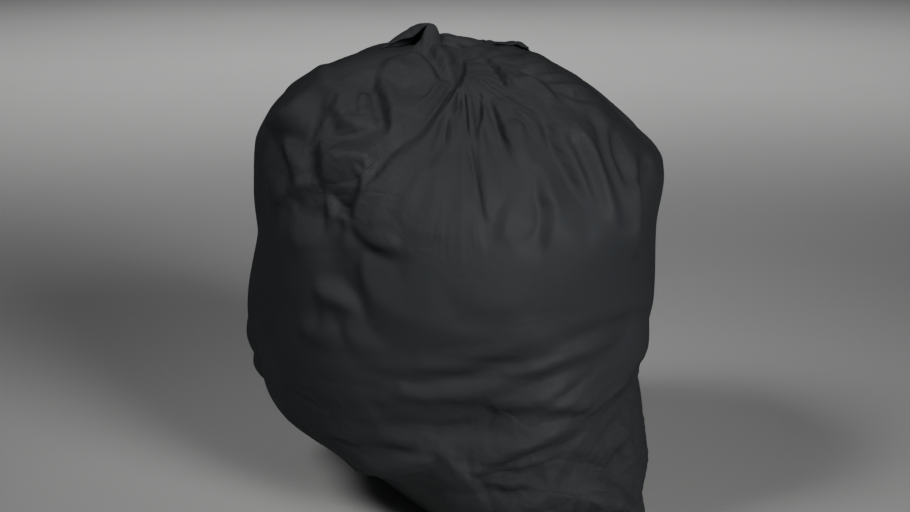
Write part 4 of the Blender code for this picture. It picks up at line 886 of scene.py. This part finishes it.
# Crumple: facets in bent places, so that their edges aren't straight. The large ones are also drawn
# out along the sagging folds, which run up to the right.
shift = nodes.new("ShaderNodeTexNoise")
shift.inputs["Scale"].default_value = 14
shift.inputs["Detail"].default_value = 3
links.new(place, shift.inputs["Vector"])
bent = nodes.new("ShaderNodeVectorMath")
bent.operation = "MULTIPLY_ADD"
links.new(shift.outputs["Color"], bent.inputs[0])
bent.inputs[1].default_value = (0.05, 0.05, 0.05)
links.new(place, bent.inputs[2])
drawn_out = nodes.new("ShaderNodeMapping")
links.new(bent.outputs[0], drawn_out.inputs["Vector"])
drawn_out.inputs["Rotation"].default_value = (0, math.radians(24), 0)
drawn_out.inputs["Scale"].default_value = (0.3, 0.5, 1)
large = facets(tree, drawn_out.outputs[0], *LARGE_CRUMPLE)
small = facets(tree, bent.outputs[0], *SMALL_CRUMPLE)
loose = plus(tree, ramp(tree, height, 0.30, 0.42, 0.0, 1.0), ramp(tree, height, 0.10, 0.24, 1.0, 0.0))
loose = times(tree, plus(tree, loose, 0.25), ramp(tree, slack, 0.40, 0.62, 0.15, 1.0))
crinkles = times(tree, plus(tree, large, small), loose)

# The film's own fine grain, and all the relief together.
grain = times(tree, mottled(tree, place, 420, 2), GRAIN)
bump = nodes.new("ShaderNodeBump")
bump.inputs["Strength"].default_value = 1.0
bump.inputs["Distance"].default_value = 1.0
plug(bump.inputs["Height"], plus(tree, plus(tree, crinkles, stretched), grain))
links.new(bump.outputs["Normal"], shader.inputs["Normal"])

# Dust lies on what faces up, and scuffs are on the lowest 70 mm. Both are lighter and rougher.
dusty = mottled(tree, place, 16, 6, 0.5)
facing_up = nodes.new("ShaderNodeSeparateXYZ")
links.new(nodes.new("ShaderNodeNewGeometry").outputs["Normal"], facing_up.inputs[0])
settled = times(tree, ramp(tree, facing_up.outputs["Z"], 0.3, 1.0, 0.0, 0.5), dusty)
scuffed = times(tree, ramp(tree, height, 0.0, 0.07, 0.6, 0.0), dusty)
dust = plus(tree, settled, scuffed)
colour = nodes.new("ShaderNodeMix")
colour.data_type = "RGBA"
plug(colour.inputs["Factor"], dust)
colour.inputs["A"].default_value = FILM_BLACK
colour.inputs["B"].default_value = DUST
links.new(colour.outputs["Result"], shader.inputs["Base Color"])

# The sheen is uneven, and fades where the film is seen edge-on.
sheen = ramp(tree, mottled(tree, place, 9, 5, 0.4), 0.35, 0.65, 0.64, 0.78)
plug(shader.inputs["Roughness"], plus(tree, sheen, times(tree, dust, 0.2)))
edge_on = nodes.new("ShaderNodeLayerWeight").outputs["Facing"]
plug(shader.inputs["Specular IOR Level"], ramp(tree, edge_on, 0.55, 1.0, 0.25, 0.08))
film.data.materials.append(black)
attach(film, "root")
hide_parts("sack")

# ---------------------------------------------------------------------------------------------------
# The studio. A plain pale floor, which isn't part of the bag, three soft lamps, and a camera that stands
# in front and looks slightly down.
# ---------------------------------------------------------------------------------------------------

FLOOR_REACH = 6  # metres each way
FLOOR_GREY = ((0.46, 0.46, 0.455, 1), (0.54, 0.54, 0.53, 1))

floor = new_object(
    "floor",
    [(x * FLOOR_REACH, y * FLOOR_REACH, 0) for x, y in ((-1, -1), (1, -1), (1, 1), (-1, 1))],
    [(0, 1, 2, 3)],
)
pale = bpy.data.materials.new("pale floor")
pale.use_nodes = True
tree = pale.node_tree
place = tree.nodes.new("ShaderNodeTexCoord").outputs["Object"]
shader = tree.nodes["Principled BSDF"]
shader.inputs["Specular IOR Level"].default_value = 0.2
clouds = mottled(tree, place, 1.3, 4)
mix = tree.nodes.new("ShaderNodeMix")
mix.data_type = "RGBA"
plug(mix.inputs["Factor"], clouds)
mix.inputs["A"].default_value, mix.inputs["B"].default_value = FLOOR_GREY
tree.links.new(mix.outputs["Result"], shader.inputs["Base Color"])
plug(shader.inputs["Roughness"], ramp(tree, clouds, 0.3, 0.7, 0.82, 0.95))
bump = tree.nodes.new("ShaderNodeBump")
bump.inputs["Distance"].default_value = 0.3 * MM
plug(bump.inputs["Height"], mottled(tree, place, 160, 5))
tree.links.new(bump.outputs["Normal"], shader.inputs["Normal"])
floor.data.materials.append(pale)

world = bpy.data.worlds.new("studio")
bpy.context.scene.world = world
world.use_nodes = True
air = world.node_tree.nodes["Background"]
air.inputs["Color"].default_value = (0.9, 0.95, 1.0, 1)
air.inputs["Strength"].default_value = 0.04


def set_up(obj, place, aim):
    """Puts a lamp or the camera in the scene, at the place and turned to the aim."""
    obj.location = place
    obj.rotation_euler = (Vector(aim) - Vector(place)).to_track_quat("-Z", "Y").to_euler()
    bpy.context.scene.collection.objects.link(obj)


def softbox(name, place, aim, size, power, spread):
    """A rectangular lamp: size in metres, power in watts, and the angle that its light spreads over."""
    light = bpy.data.lights.new(name, "AREA")
    light.shape = "RECTANGLE"
    light.size, light.size_y = size
    light.energy = power
    light.spread = math.radians(spread)
    set_up(bpy.data.objects.new(name, light), place, aim)


softbox("key", (1.5, -2.25, 1.4), (0, 0, 0.34), (1.2, 1.2), power=5.4, spread=40)
softbox("fill", (-1.7, -1.0, 2.7), (0, 0, 0.42), (1.0, 1.0), power=2.5, spread=40)
softbox("back", (0, 3.0, 2.6), (0, 3.0, 0), (3.5, 2.0), power=26, spread=80)

camera_data = bpy.data.cameras.new("camera")
camera_data.sensor_width = 36
camera_data.lens = 75.5
camera = bpy.data.objects.new("camera", camera_data)
target = Vector(EYE_TARGET) - Vector((2.2 * MM, 0, 0))  # a little to the left, which centres the bag
set_up(camera, target + EYE_DISTANCE * Vector(EYE_BACK), target)
bpy.context.scene.camera = camera
